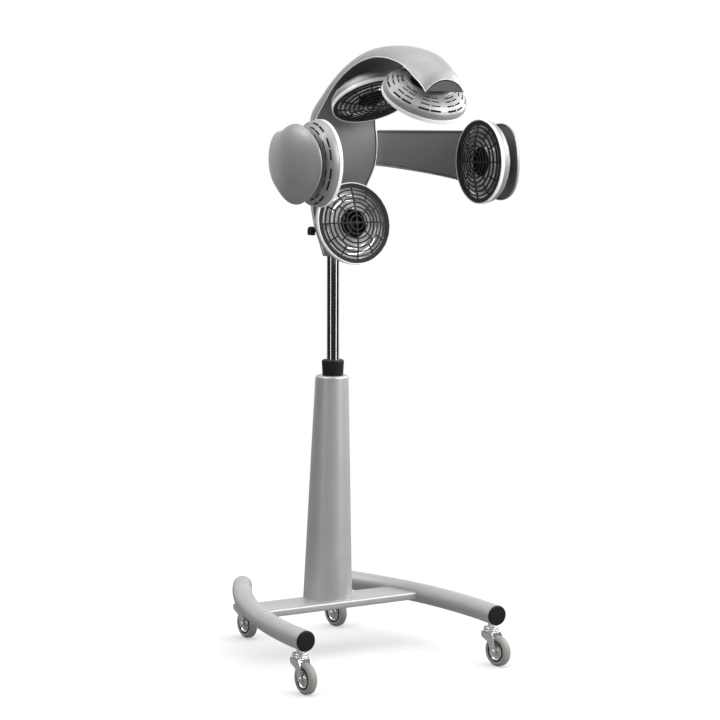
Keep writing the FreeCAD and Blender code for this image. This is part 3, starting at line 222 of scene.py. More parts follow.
def rounded(corners, closed=True, steps=5):
    """Outline through corners (x, y, radius), each an arc tangent to its two sides."""
    points = np.array([c[:2] for c in corners], float)
    outline = []
    for k, (_, _, radius) in enumerate(corners):
        here = points[k]
        if radius <= 0 or (not closed and k in (0, len(points) - 1)):
            outline.append(here[None])
            continue
        back, ahead = points[k - 1] - here, points[(k + 1) % len(points)] - here
        room = SIDE_SHARE * min(np.hypot(*back), np.hypot(*ahead))
        back, ahead = back / np.hypot(*back), ahead / np.hypot(*ahead)
        half = math.acos(max(-1.0, min(1.0, float(back @ ahead)))) / 2
        reach = min(radius / math.tan(half), room)
        radius = reach * math.tan(half)
        middle = here + (back + ahead) / np.linalg.norm(back + ahead) * radius / math.sin(half)
        start, end = here + back * reach - middle, here + ahead * reach - middle
        a0 = math.atan2(start[1], start[0])
        turn = (math.atan2(end[1], end[0]) - a0 + math.pi) % (2 * math.pi) - math.pi
        angles = a0 + turn * np.linspace(0, 1, steps + 1)
        outline.append(middle + radius * joined(np.cos(angles), np.sin(angles)))
    return np.concatenate(outline)


def circle(segments):
    """Cosine and sine of evenly spaced angles, starting at zero."""
    angle = np.linspace(0, 2 * np.pi, segments, endpoint=False)
    return np.cos(angle), np.sin(angle)


def turned(profile, closed=True, segments=96):
    """Profile (radius, height) turned about Z."""
    radius, height = profile[:, :1], profile[:, 1:]
    cos, sin = circle(segments)
    return grid_part(joined(radius * cos, radius * sin, height), close_rows=closed, close_columns=True)


def lathe(corners, segments=96):
    """Closed profile with rounded corners, turned about Z."""
    return turned(rounded(corners), segments=segments)


def plate(outline, thickness):
    """Flat plate in XY from Z = 0 to thickness. The outline's middle must see all of it."""
    middle = np.repeat(outline.mean(0, keepdims=True), len(outline), 0)
    rows = [(middle, 0.0), (outline, 0.0), (outline, thickness), (middle, thickness)]
    return grid_part(np.stack([joined(*xy.T, z) for xy, z in rows]), close_columns=True)


def doubled(corners):
    """Corners (x, y, radius) followed by their mirror images in y."""
    return corners + [(x, -y, radius) for x, y, radius in corners[::-1]]


def offset(line, distance):
    """An open polyline shifted sideways."""
    along = np.gradient(line, axis=0)
    along /= np.hypot(along[:, 0], along[:, 1])[:, None]
    return line + joined(-along[:, 1], along[:, 0]) * distance


# %% [markdown]
# ## Finishes
# Every finish is a Principled shader whose colour, roughness and relief follow
# noise on Object coordinates. The pieces sit untransformed at the origin, so a
# scale of 1000 gives grains of a millimetre.


# %% Nodes for a finish
def add(tree, kind, inputs=(), out=0, **settings):
    """An output of a new shader node, whose inputs get a value or another output each."""
    node = tree.nodes.new("ShaderNode" + kind)
    for key, value in settings.items():
        setattr(node, key, value)
    for key, value in dict(inputs).items():
        if isinstance(value, bpy.types.NodeSocket):
            tree.links.new(value, node.inputs[key])
        else:
            node.inputs[key].default_value = value
    return node.outputs[out]


def noise(tree, scale, detail=3.0, stretch=1.0):
    """Noise on Object coordinates, scale grains to the metre, drawn out along Z by a small stretch."""
    place = add(tree, "TexCoord", out="Object")
    drawn = add(tree, "Mapping", {"Vector": place, "Scale": (1.0, 1.0, stretch)})
    return add(tree, "TexNoise", {"Vector": drawn, "Scale": scale, "Detail": detail})


def spread(tree, value, low, high, from_low=0.3, from_high=0.7):
    """A value mapped from its usual span to low..high."""
    return add(tree, "MapRange", {"Value": value, "From Min": from_low, "From Max": from_high,
                                  "To Min": low, "To Max": high})


def blended(tree, share, first, second):
    """Two colours mixed by a share. Either may be a socket."""
    first, second = (c if isinstance(c, bpy.types.NodeSocket) else (*c, 1.0) for c in (first, second))
    return add(tree, "Mix", {"Factor": share, 6: first, 7: second}, out=2, data_type="RGBA")


FINISHES = {}
MOTTLE_SCALE, DRIFT_SCALE, DRIFT_DETAIL = 9.0, 60.0, 4.0


def finish(name, colour, roughness, grains, over=None, metallic=0.0, mottle=0.04, drift=0.05, **sockets):
    """A named Principled material with slow colour mottling and a drifting roughness.
    Grains are bumps chained into the normal: noise scale, detail, depth in mm, and stretch if any.
    Over is a second colour laid over it: colour, noise scale, detail, most cover, and noise span if any."""
    material = bpy.data.materials.new(name)
    material.use_nodes = True
    tree = material.node_tree
    shader = tree.nodes["Principled BSDF"]
    shader.inputs["Metallic"].default_value = metallic
    for socket, value in sockets.items():
        shader.inputs[socket.replace("_", " ")].default_value = value
    pale = tuple(min(1.0, c * (1 + mottle)) for c in colour)
    deep = tuple(c * (1 - mottle) for c in colour)
    tint = blended(tree, spread(tree, noise(tree, MOTTLE_SCALE), 0, 1), deep, pale)
    if over:
        second, scale, detail, cover, *span = over
        tint = blended(tree, spread(tree, noise(tree, scale, detail), 0, cover, *span), tint, second)
    tree.links.new(tint, shader.inputs["Base Color"])
    waves = noise(tree, DRIFT_SCALE, DRIFT_DETAIL)
    rough = spread(tree, waves, roughness - drift, roughness + drift)
    tree.links.new(rough, shader.inputs["Roughness"])
    below = {}
    for scale, detail, depth, *stretch in grains:
        height = noise(tree, scale, detail, *stretch)
        bumps = {"Height": height, "Strength": 1.0, "Distance": depth * MM, **below}
        below = {"Normal": add(tree, "Bump", bumps)}
    tree.links.new(below["Normal"], shader.inputs["Normal"])
    FINISHES[name] = material


# %% [markdown]
# Silver paint and plastic are a clear coat over fine aluminium flake. The flake
# shows as a faint sparkle, and the coat lies in very shallow waves, which is
# what tells paint from bare metal.

# %% Painted and moulded silver
finish("silver_paint", (0.46, 0.465, 0.47), 0.45, [(420, 2, 0.012), (2600, 2, 0.004)],
       over=((0.56, 0.565, 0.57), 2600, 2, 0.3), metallic=0.6, Coat_Weight=0.15, Coat_Roughness=0.25)
finish("silver_plastic", (0.30, 0.302, 0.305), 0.5, [(260, 2, 0.01), (3200, 2, 0.005)],
       over=((0.36, 0.362, 0.365), 3200, 2, 0.3), metallic=0.5, Coat_Weight=0.12, Coat_Roughness=0.3)

# %% [markdown]
# The dark covers have a spark-eroded grain, pits half a millimetre apart that
# scatter the light. It is too small to model, so it is a bump. The black parts
# also carry grey specks.

# %% Plastics
finish("dark_plastic", (0.165, 0.167, 0.171), 0.55, [(1900, 3, 0.03), (120, 2, 0.02)],
       mottle=0.06, Specular_IOR_Level=0.35)
finish("charcoal_plastic", (0.026, 0.026, 0.027), 0.55, [(1500, 3, 0.012)],
       mottle=0.08, Specular_IOR_Level=0.12)
finish("black_plastic", (0.010, 0.010, 0.011), 0.5, [(1100, 4, 0.04)],
       over=((0.05, 0.05, 0.052), 1400, 4, 0.5, 0.56, 0.78), mottle=0.1, Specular_IOR_Level=0.15)
finish("panel_plastic", (0.07, 0.071, 0.074), 0.35, [(2200, 3, 0.008)], mottle=0.08)
finish("white_plastic", (0.88, 0.885, 0.89), 0.24, [(300, 2, 0.006)], mottle=0.02, Coat_Weight=0.3)
finish("bush_plastic", (0.78, 0.78, 0.74), 0.4, [(900, 3, 0.01)], Subsurface_Weight=0.1)

# %% [markdown]
# Bare metals differ by how they were worked: faint lines along the polished
# chrome, cloudy crystals on zinc plate, scratches on brushed steel, and soft
# waves in the spun reflectors.

# %% Metals, glass and rubber
finish("chrome", (0.62, 0.61, 0.60), 0.07, [(900, 2, 0.002, 0.02)], metallic=1, mottle=0.03, drift=0.02)
finish("zinc", (0.74, 0.745, 0.75), 0.26, [(700, 4, 0.015)],
       over=((0.84, 0.85, 0.86), 160, 5, 0.5), metallic=0.9, mottle=0.1, drift=0.1)
finish("steel", (0.16, 0.16, 0.16), 0.5, [(1200, 3, 0.01, 0.05)], metallic=0.8, mottle=0.08, drift=0.08)
finish("reflector_metal", (0.98, 0.98, 0.985), 0.16, [(180, 2, 0.05)],
       metallic=0.4, mottle=0.02, drift=0.04)
finish("lamp_glass", (0.72, 0.70, 0.685), 0.3, [(600, 2, 0.01)], mottle=0.1, Transmission_Weight=0.35)
finish("tyre_rubber", (0.27, 0.262, 0.246), 0.62, [(1500, 4, 0.03)],
       over=((0.30, 0.285, 0.26), 90, 5, 0.35, 0.45, 0.75), mottle=0.06)
SLOT_OF = {part["node"]: part["material_slot"] for part in frame["record"]["subparts"]}
print("finishes:", len(FINISHES))

# %% [markdown]
# The CAD nodes that stay visible keep their shape and take the finish of their
# slot in the record.

# %% Finishes on the CAD nodes
for node, thing in frame["nodes"].items():
    for material_slot in thing.material_slots:
        material_slot.material = FINISHES[SLOT_OF[node]]

# %% [markdown]
# ## The base
# Two steel tubes run from front to back in a gentle arc. One circle carried
# along it gives the outside and a smaller one the bore. A plastic cap with a
# rounded lip closes each end.

# %% Base tubes and caps
TUBE_ARC = (877.58, -300.01)
TUBE_ARC_R = 1146.0
TUBE_TOE, TUBE_SWEEP = 2.3, 32.0
TUBE_R, TUBE_BORE, TUBE_Z = 25.0, 22.5, 127.0
CAP_LINE = [(0, -16, 0), (22.2, -16, 1.5), (22.2, 0, 0), (TUBE_R, 0, 0.5), (TUBE_R, 1.6, 1.2),
            (21.5, 4, 2.5), (0, 4, 0)]


def tube_line(degrees):
    """Centre, outward and forward directions of the left tube, degrees behind its front end."""
    angle = np.radians(np.asarray(degrees, float) - TUBE_TOE)
    out, forward = joined(-np.cos(angle), np.sin(angle), 0.0), joined(-np.sin(angle), -np.cos(angle), 0.0)
    return np.array([*TUBE_ARC, TUBE_Z]) + out * TUBE_ARC_R, out, forward


def tube_grid(radius):
    """Circles round the left tube's centre line."""
    centre, out, _ = tube_line(np.linspace(0, TUBE_SWEEP, 61))
    cos, sin = circle(72)
    return centre[:, None] + radius * (cos[:, None] * out[:, None] + sin[:, None] * np.array([0, 0, 1.0]))


def end_cap(degrees, outward):
    """Plug and rounded lip, turned about the tube's own line at one end."""
    centre, _, forward = tube_line(degrees)
    return placed(lathe(CAP_LINE, 72), centre, (0, 0, 1), forward * outward)


left_tube = shell_part(tube_grid(TUBE_R), tube_grid(TUBE_BORE), wrap=True)
caps = [end_cap(0.0, 1.0), end_cap(TUBE_SWEEP, -1.0)]
piece("left_tube_skin", left_tube, "base", "silver_paint", ["left_base_tube"])
piece("right_tube_skin", mirrored(left_tube), "base", "silver_paint", ["right_base_tube"])
piece("tube_end_plugs", stacked(*caps, *map(mirrored, caps)), "base", "black_plastic", ["tube_end_caps"])

# %% [markdown]
# The crossbar is a flat section with rounded edges, welded between the tubes.
# Its ends follow the tubes, a little inside their walls.

# %% Crossbar
BAR_Z = (115.0, 133.0)
BAR_HALF_Y, BAR_ROUND, BAR_SINK = 51.0, 4.0, 21.0


def crossbar():
    """Rounded section in YZ, carried along X between the tubes' centre lines less a set-back."""
    low, high = BAR_Z
    corners = ((-BAR_HALF_Y, low), (BAR_HALF_Y, low), (BAR_HALF_Y, high), (-BAR_HALF_Y, high))
    section = rounded([(*corner, BAR_ROUND) for corner in corners])
    y, z = section.T
    reach = -(TUBE_ARC[0] - np.sqrt(TUBE_ARC_R ** 2 - (y - TUBE_ARC[1]) ** 2)) - BAR_SINK
    rows = [joined(share * reach, y, z) for share in np.linspace(-1, 1, 25)]
    left, right = (joined(share * reach, 0.0, (low + high) / 2) for share in (-1, 1))
    return grid_part(np.stack([left, *rows, right]), close_columns=True)


piece("crossbar_skin", crossbar(), "base", "silver_paint", ["crossbar"])

# %% [markdown]
# ## Castors
# Each castor is a pressed fork under a double ball race, with a grey wheel on a
# riveted axle. A black guard ring closes the gap between tyre and hub.

# %% Castors
CASTORS = {"front_left": (-268.2, -320.0, -86.0), "front_right": (268.2, -320.0, -79.0),
           "rear_left": (-130.5, 245.1, -86.0), "rear_right": (130.5, 245.1, -80.0)}
TRAIL, WHEEL_R = 25.0, 37.5
LEG_X, LEG_T = 14.5, 2.5
TYRE_LINE = doubled([(24, -9, 1), (31.5, -12, 2.5), (WHEEL_R, -6.5, 6)])
GUARD_LINE = [(21.5, 7.5, 0), (25.6, 7.5, 0), (25.6, 10.6, 0.8), (21.5, 10.6, 0.8)]
HUB_LINE = doubled([(4.1, -11.5, 0.8), (9, -11.5, 1.5), (10.5, -7, 2), (19, -6, 2), (21.5, -9, 0.8),
                    (24, -9, 0)])
RIVET_LINE = doubled([(0, -19.2, 0), (3.6, -19.2, 1.6), (6.4, -17.2, 0.8), (4, -17.0, 0)])
RACE_LINE = [(5.1, 82.2, 0.5), (19, 82.2, 2.2), (19, 87.8, 2.0), (17.0, 88.3, 0.4), (17.0, 89.0, 0.4),
             (18.4, 89.4, 1.7), (18.4, 95, 3.0), (5.1, 95, 0.5)]
LEG_LINE = [(-18, 83, 3), (19, 83, 4), (25, 70, 14), (36, 28.5, 10.5), (14, 28.5, 10.5), (8, 58, 14),
            (-18, 70, 6)]
BRIDGE_LINE, BRIDGE_Z, BRIDGE_T = [(-18, -17, 4), (19, -17, 4), (19, 17, 4), (-18, 17, 4)], 80.5, 2.5


def wheel_parts():
    """Tyre, two guard rings and hub, turned about local Z with the wheel's middle at 0."""
    ring = rounded(GUARD_LINE)
    guard = stacked(turned(ring), turned(ring * [1, -1]))
    return {"tyre": (lathe(TYRE_LINE), "tyre_rubber"), "hub_guards": (guard, "black_plastic"),
            "hub": (lathe(HUB_LINE), "zinc")}


def fork_part():
    """Two legs, bridge, riveted axle and double race, with the swivel axis on local Z."""
    leg = plate(rounded(LEG_LINE, steps=8), LEG_T)
    legs = [placed(leg, (0, y, 0), (1, 0, 0), (0, -1, 0)) for y in (LEG_X + LEG_T, -LEG_X)]
    bridge = placed(plate(rounded(BRIDGE_LINE), BRIDGE_T), (0, 0, BRIDGE_Z))
    axle = placed(lathe(RIVET_LINE, 48), (TRAIL, 0, WHEEL_R), (1, 0, 0), (0, 1, 0))
    return stacked(*legs, bridge, lathe(RACE_LINE), axle)


for corner_name, (x, y, heading) in CASTORS.items():
    ahead = np.array([math.cos(math.radians(heading)), math.sin(math.radians(heading)), 0])
    across = np.cross([0, 0, 1], ahead)
    node = corner_name + "_fork"
    piece(node + "_pressing", placed(fork_part(), (x, y, 0), ahead), node, "zinc", [node], bevel=0.5)
    middle = np.array([x, y, WHEEL_R]) + ahead * TRAIL
    node = corner_name + "_wheel"
    for label, (part, slot) in wheel_parts().items():
        piece(corner_name + "_" + label, placed(part, middle, ahead, across), node, slot, [node])

# %% [markdown]
# ## Column and mast
# The column cover is a cone whose front line stays upright, with a separate
# strip clipped into its back. The grid's columns follow the strip's two edges,
# so the opening for it is exact.

# %% Column cover and rear strip
COLUMN_FRONT_Y = -37.0
COLUMN_R = (62.0, 41.5)
COLUMN_Z = (133.0, 700.0)
COLUMN_WALL, COLUMN_ROUND, COLUMN_HOLE = 2.5, 6.0, 20.4
COVER_CELLS, STRIP_CELLS = 96, 16   # round the cover, and across the strip behind it
STRIP_Z, STRIP_HALF, STRIP_GAP = (145.0, 640.0), (46.0, 10.0), 0.4
PLAIN_Z = [660, 680, 690]   # rows between the strip and the rounded head


def column_radius(z):
    """Radius of the cone at each height."""
    return np.interp(z, COLUMN_Z, COLUMN_R)


def column_grid(z, inset, edge):
    """Points at heights z. Edge is the half angle of the strip, whose cells are the last ones round."""
    rise = np.clip((z - COLUMN_Z[1] + COLUMN_ROUND) / COLUMN_ROUND, 0, 1)
    round_off = COLUMN_ROUND * (1 - np.sqrt(np.clip(1 - rise ** 2, 0, 1)))
    radius = column_radius(z)
    front = np.linspace(0, 1, COVER_CELLS + 1)[None, :]
    behind = np.linspace(0, 1, STRIP_CELLS + 1)[None, 1:-1]
    edge = edge[:, None]
    turn = np.concatenate([edge + (2 * np.pi - 2 * edge) * front, (2 * np.pi - edge) + 2 * edge * behind], 1)
    reach = (radius - round_off - inset)[:, None]
    centre = (COLUMN_FRONT_Y + radius)[:, None]
    return joined(reach * np.sin(turn), centre + reach * np.cos(turn), z[:, None])


def strip_edge(z):
    """Half angle of the strip's opening at each height."""
    return np.arcsin(np.interp(z, STRIP_Z, STRIP_HALF) / column_radius(z))


def column_cover():
    """Shell with the strip's opening, closed at its head by a flat ring round the guide tube."""
    z = np.concatenate([[COLUMN_Z[0]], np.linspace(*STRIP_Z, 40), PLAIN_Z,
                        COLUMN_Z[1] - COLUMN_ROUND * (1 - np.sin(np.linspace(0, np.pi / 2, 9)))])
    inside = np.minimum(z, COLUMN_Z[1] - COLUMN_WALL)
    edge = strip_edge(z)
    outer, inner = column_grid(z, 0.0, edge), column_grid(inside, COLUMN_WALL, edge)
    keep = np.ones((len(z) - 1, outer.shape[1]), bool)
    middle = (z[:-1] + z[1:]) / 2
    behind = (middle > STRIP_Z[0]) & (middle < STRIP_Z[1])
    keep[np.ix_(behind, np.arange(COVER_CELLS, outer.shape[1]))] = False
    shell = shell_part(outer, inner, keep, wrap=True)
    top, under = outer[-1], inner[-1]
    hole = top - [0, COLUMN_FRONT_Y + COLUMN_R[1], 0]
    hole = hole / np.linalg.norm(hole[:, :2], axis=1)[:, None] * COLUMN_HOLE
    rings = ((top, top), (hole, top), (hole, under), (under, under))
    lid = np.stack([joined(*ring[:, :2].T, level[:, 2]) for ring, level in rings])
    last = (outer.shape[0] - 1) * outer.shape[1]
    rim_faces = np.isin(shell[1] % (len(shell[0]) // 2), np.arange(last, last + outer.shape[1])).all(1)
    return stacked((shell[0], shell[1][~rim_faces]), grid_part(lid, close_columns=True))


def rear_strip():
    """The strip, a small gap inside its opening all round."""
    z = np.linspace(STRIP_Z[0] + STRIP_GAP, STRIP_Z[1] - STRIP_GAP, 41)
    edge = strip_edge(z) - STRIP_GAP / column_radius(z)
    outer, inner = column_grid(z, 0.0, edge), column_grid(z, COLUMN_WALL, edge)
    span = np.r_[COVER_CELLS:outer.shape[1], 0]
    return shell_part(outer[:, span], inner[:, span])


piece("column_skin", column_cover(), "base", "silver_paint", ["column_cover"])
piece("rear_strip_skin", rear_strip(), "base", "silver_paint", ["column_rear_panel"], bevel=0.5)

# %% [markdown]
# The black collar and the chrome mast are plain turnings. The knob's grip is an
# outline carried outwards, on a turned screw.

# %% Collar, mast and knob
COLLAR_LINE = [(20.05, 700.3, 0), (26, 700.3, 1.2), (27.2, 722, 0), (28, 735.3, 2), (26.8, 738.3, 1.5),
               (24, 739.3, 1), (16.05, 739.3, 0.5), (16.05, 725, 0), (20.05, 725, 0)]
MAST_LINE = [(14, 350, 0.4), (16, 350, 0.8), (16, 1040, 0.8), (14, 1040, 0.4)]
KNOB_AXIS, KNOB_R, KNOB_DROP = (-52.0, 8.0, 1061.0), 11.0, 10.5
KNOB_LEVELS = ((0, 0), (0.97, 0), (1, 0.5), (1, 7.5), (0.985, 9.3), (0.93, 10.5), (0.84, 11), (0.5, 10.7),
               (0, 10.6))
SCREW_LINE = [(0, -42, 0), (4, -42, 0.5), (4, 3, 0), (0, 3, 0)]


def knob_grip():
    """Outline round above and flat below, drawn in a little towards the outer face."""
    angle = np.linspace(0, np.pi, 41)
    crown = KNOB_R * joined(np.cos(angle), np.sin(angle))
    foot = rounded([(-KNOB_R, 0, 0), (-KNOB_R, -KNOB_DROP, 1.5), (KNOB_R, -KNOB_DROP, 1.5), (KNOB_R, 0, 0)],
                   closed=False)
    outline = np.concatenate([crown, foot[1:-1]])
    rings = np.stack([joined(*(outline * share).T, z) for share, z in KNOB_LEVELS])
    return grid_part(rings, close_columns=True)


piece("twist_collar", lathe(COLLAR_LINE, 128), "lock_collar", "black_plastic", ["lock_collar"])
piece("mast_chrome", lathe(MAST_LINE, 160), "mast", "chrome", ["mast_tube"])
screw = lathe(SCREW_LINE, 32)
knob = placed(stacked(knob_grip(), screw), KNOB_AXIS, (0, -1, 0), (-1, 0, 0))
piece("tilt_hand_knob", knob, "tilt_knob", "black_plastic", ["tilt_knob"])

# %% [markdown]
# ## The hood
# The outer cover is an arch whose feet follow the rim and whose crown follows
# the back of the hood. Stations give both lines, the half width, the bulge of
# the inner cover and how full the arch is. A cubic Hermite curve joins them.

# %% Smooth rows and arches
HOOD_STATIONS = (   # rim y, rim z, crown y, crown z, half width, inner height, fullness
    (0, 998, 28.5, 998, 24, -31, 1), (-1, 1030, 30, 1030, 35, -32, 1),
    (-2, 1062, 31, 1062, 48, -32, 1), (-6, 1112, 32, 1112, 61, -28, 1),
    (-36, 1170, 31, 1168, 75, -12, 1), (-59, 1222, 29, 1218, 86, -4, 1),
    (-66, 1280, 26, 1285, 88, 0, 1), (-63, 1334, 14, 1360, 85, 3, 1),
    (-90, 1372, -46, 1412, 79, 6, 0.98), (-126, 1409, -94, 1445, 75, 8, 0.94),
    (-175, 1441, -155, 1477, 73, 9, 0.88), (-249, 1471, -240, 1504, 69, 9, 0.8),
    (-310, 1480.5, -310, 1508, 66, 9, 0.74), (-384, 1473, -391, 1500, 62, 9, 0.68),
    (-429, 1459, -441, 1487, 60, 9, 0.63), (-470, 1434, -486, 1464, 57.5, 8, 0.59),
    (-501, 1413, -511, 1443, 55, 7, 0.56), (-513, 1399, -520, 1428.5, 52.5, 5, 0.54),
)
COVER_T, INNER_T, COVER_GAP, RIM_RECESS, WRAP_DEPTH = 3.0, 2.5, 0.3, 3.0, 28.0
PLATE_T, PLATE_RECESS = 3.0, 1.0
ACROSS = np.array([1.0, 0.0, 0.0])


def smooth_rows(rows, steps, gaps):
    """Cubic Hermite curve through rows, each slope that of the parabola through three neighbours."""
    rows, gaps = np.array(rows, float), gaps[:, None]
    secants = np.diff(rows, axis=0) / gaps
    inner = (secants[:-1] * gaps[1:] + secants[1:] * gaps[:-1]) / (gaps[1:] + gaps[:-1])
    slopes = np.concatenate([secants[:1], inner, secants[-1:]])[:, None]
    t, gap = (np.arange(steps) / steps)[None, :, None], gaps[:, None]
    spans = ((1 + 2 * t) * (1 - t) ** 2 * rows[:-1, None] + t * t * (3 - 2 * t) * rows[1:, None]
             + gap * t * (1 - t) ** 2 * slopes[:-1] + gap * t * t * (t - 1) * slopes[1:])
    return np.concatenate([spans.reshape(-1, rows.shape[1]), rows[-1:]])


def arch(base, across, outward, half, height, fullness=1.0, columns=65):
    """Cubic arches: half (2t-1) (1 + (3 full - 1) t(1-t)) across, height 4t(1-t) outwards, from their bases.
    With fullness 1 the sides rise upright from the rim, and 1/3 is a parabola."""
    t = np.linspace(0, 1, columns)[None, :, None]
    half, height, fullness = (np.reshape(v, (-1, 1, 1)) for v in (half, height, fullness))
    side = (2 * t - 1) * half * (1 + (3 * fullness - 1) * t * (1 - t))
    return base[:, None] + side * across + height * 4 * t * (1 - t) * outward[:, None]


def outward_skin(points, outward):
    """Open grid part whose faces look along outward at the middle column."""
    middle = points.shape[1] // 2
    across = points[:, middle + 1] - points[:, middle - 1]
    along = np.gradient(points[:, middle], axis=0)
    part = grid_part(points)
    facing = np.sum(np.cross(across, along) * outward)
    return part if facing > 0 else (part[0], part[1][:, ::-1])


def arch_half_at(half, height, level, fullness=1.0):
    """Half width of a cubic arch at a level above its base line."""
    t = (1 - np.sqrt(np.clip(1 - level / np.maximum(height, 1e-6), 0, 1))) / 2
    return half * (1 - 2 * t) * (1 + (3 * fullness - 1) * t * (1 - t))


# %% [markdown]
# The outer cover is one skin with a wall inwards. The inner cover lies just
# within its rim: low under the hood, and a full arch where it wraps the mast.

# %% Hood covers
stations = np.array(HOOD_STATIONS, float)
rows = smooth_rows(stations, 6, np.hypot(*np.diff(stations[:, :2], axis=0).T))
RIM, CROWN = joined(0.0, rows[:, 0], rows[:, 1]), joined(0.0, rows[:, 2], rows[:, 3])
DEPTH = np.linalg.norm(CROWN - RIM, axis=1)
OUTWARD = (CROWN - RIM) / DEPTH[:, None]
HALF, INNER, FULLNESS = rows[:, 4], rows[:, 5], rows[:, 6]
TIP = np.cross(ACROSS, OUTWARD[-1])


def inner_cover():
    """Shell from a low parabola to a full arch round the mast, just inside the rim."""
    base = RIM.copy()
    base[-1] -= TIP * (PLATE_RECESS + PLATE_T)
    reach = arch_half_at(HALF - COVER_T, DEPTH - COVER_T, RIM_RECESS + INNER_T, FULLNESS) - COVER_GAP
    wrap = np.clip(-INNER / WRAP_DEPTH, 0, 1)
    bulge = (1 + 2 * wrap) / 3
    near = arch(base + OUTWARD * RIM_RECESS, ACROSS, OUTWARD, reach, INNER, bulge)
    lift = (RIM_RECESS + INNER_T * (1 - wrap))[:, None]
    far = arch(base + OUTWARD * lift, ACROSS, OUTWARD, reach - INNER_T * wrap, INNER + INNER_T * wrap, bulge)
    return shell_part(near, far)


hood_skin = outward_skin(arch(RIM, ACROSS, OUTWARD, HALF, DEPTH, FULLNESS), OUTWARD)
piece("hood_outer_skin", hood_skin, "hood", "silver_plastic", ["hood_outer_cover"], wall=COVER_T, bevel=0.7)
piece("hood_inner_skin", inner_cover(), "hood", "dark_plastic", ["hood_inner_cover"], bevel=0.5)

# %% [markdown]
# A pale bead on the cover's free edge is a painted highlight: its white stands
# for the light that the rim catches, and it draws the hood's outline. It is a thin
# tube carried down both sides and round the tip.

# %% Rim bead
BEAD_R, BEAD_LIFT, BEAD_PROUD, BEAD_END = 1.3, 0.4, 0.2, 5
BEAD_SIDE = OUTWARD[len(OUTWARD) // 2] + [0.3, 0.2, 0.1]   # a direction that the rim never takes


def bead(line, radius):
    """Closed tube round a polyline, with rounded ends."""
    along = unit(np.gradient(line, axis=0))
    first = unit(np.cross(along, BEAD_SIDE))
    second = np.cross(along, first)
    cos, sin = circle(16)
    share = np.linspace(0, 1, BEAD_END)
    swell = np.ones(len(line))
    swell[:BEAD_END], swell[-BEAD_END:] = np.sqrt(1 - (1 - share) ** 2), np.sqrt(1 - share ** 2)
    ring = cos[:, None] * first[:, None] + sin[:, None] * second[:, None]
    return grid_part(line[:, None] + radius * swell[:, None, None] * ring, close_columns=True)


edge = arch(RIM, ACROSS, OUTWARD, HALF - BEAD_R, DEPTH - BEAD_R, FULLNESS)
edge = edge + OUTWARD[:, None] * BEAD_LIFT
tip_line = edge[-1] - TIP * (BEAD_R + BEAD_PROUD)
rim_line = np.concatenate([edge[:-1, 0], tip_line, edge[-2::-1, -1]])
# the white bead is a painted highlight along the hood's rim
piece("hood_rim_highlight_bead", bead(rim_line, BEAD_R), "hood", "white_plastic", ["hood_outer_cover"])

# %% [markdown]
# A bare D-shaped plate in a black seal closes the tip, ruled with straight lines
# between its chord and its arch. Two screws in black cups hold the inner cover.

# %% Tip plate and cover screws
SEAL_HIGH, SEAL_WIDE, FACE_SUNK, FACE_T = 1.2, 3.0, 0.6, 2.8
CUP_LINE = [(0, 0.4, 0), (1.6, 0.4, 0.2), (2.4, -0.5, 0.3), (3.3, -0.3, 0.4), (3.3, 1.5, 0), (0, 1.5, 0)]
CUP_PLACE, CUP_AXIS = (-47.9, -65.6, 1351.2), (-0.06, 0.83, 0.555)


def d_plate(base, half, height, thickness):
    """Plate between an arch and its chord, thickness deep towards the tip."""
    top = arch(base[None], ACROSS, OUTWARD[-1:], half, height, FULLNESS[-1])[0]
    chord = top - OUTWARD[-1] * np.sum((top - base) * OUTWARD[-1], axis=1)[:, None]
    front = chord + (top - chord) * np.linspace(0, 1, 5)[:, None, None]
    return shell_part(front, front + TIP * thickness)


start = RIM[-1] - TIP * (PLATE_RECESS + PLATE_T)
plate_half, plate_high = (size[-1] - COVER_T - COVER_GAP for size in (HALF, DEPTH))
seal = d_plate(start, plate_half, plate_high, PLATE_T)
raised = start + OUTWARD[-1] * SEAL_HIGH + TIP * FACE_SUNK
face = d_plate(raised, plate_half - SEAL_WIDE, plate_high - SEAL_WIDE, FACE_T)
piece("tip_seal", seal, "hood", "black_plastic", ["badge_plate"], bevel=0.5)
piece("tip_plate", face, "hood", "panel_plastic", ["badge_plate"], bevel=0.4)
cup = placed(lathe(CUP_LINE, 32), CUP_PLACE, (1, 0, 0), CUP_AXIS)
piece("cover_screws", stacked(cup, mirrored(cup)), "hood", "black_plastic", ["hood_inner_cover"])

# %% [markdown]
# ## The side arms
# An arm leaves its hinge as a shallow arch and swells into a paddle behind the
# lamp head. Its stations go through the same curve as the hood's, and the last
# one shrinks to a point, so the paddle ends in a smooth dome.

# %% Arm stations
HINGE = (90.0, -20.0)
ARM_ROOT, ARM_LEAD, ARM_PULL = (101.0, -30.0), (152.0, -40.0), 73.5
ARM_TOP, ROOT_LOW, ENTRY_LOW, ARM_T = 1309.0, 1221.0, 1177.0, 2.5
ROOT_DEPTH, ARM_FALL, ARM_SWELL = 14.0, 1.45, 2.4
PADDLE_X, PADDLE_Y, PADDLE_Z = 280.0, -322.5, 1235.0
PADDLE_R, PADDLE_HALF, PADDLE_BOW = 94.0, 96.0, 15.2
PADDLE_DEPTH, PADDLE_TAPER, PADDLE_JOIN, PADDLE_DROP = 32.0, 0.4, 60.0, 1.2
ARM_EASE, END_EASE = 18.0, 0.3   # window of the smoothing, and its most as a share of the way to an end


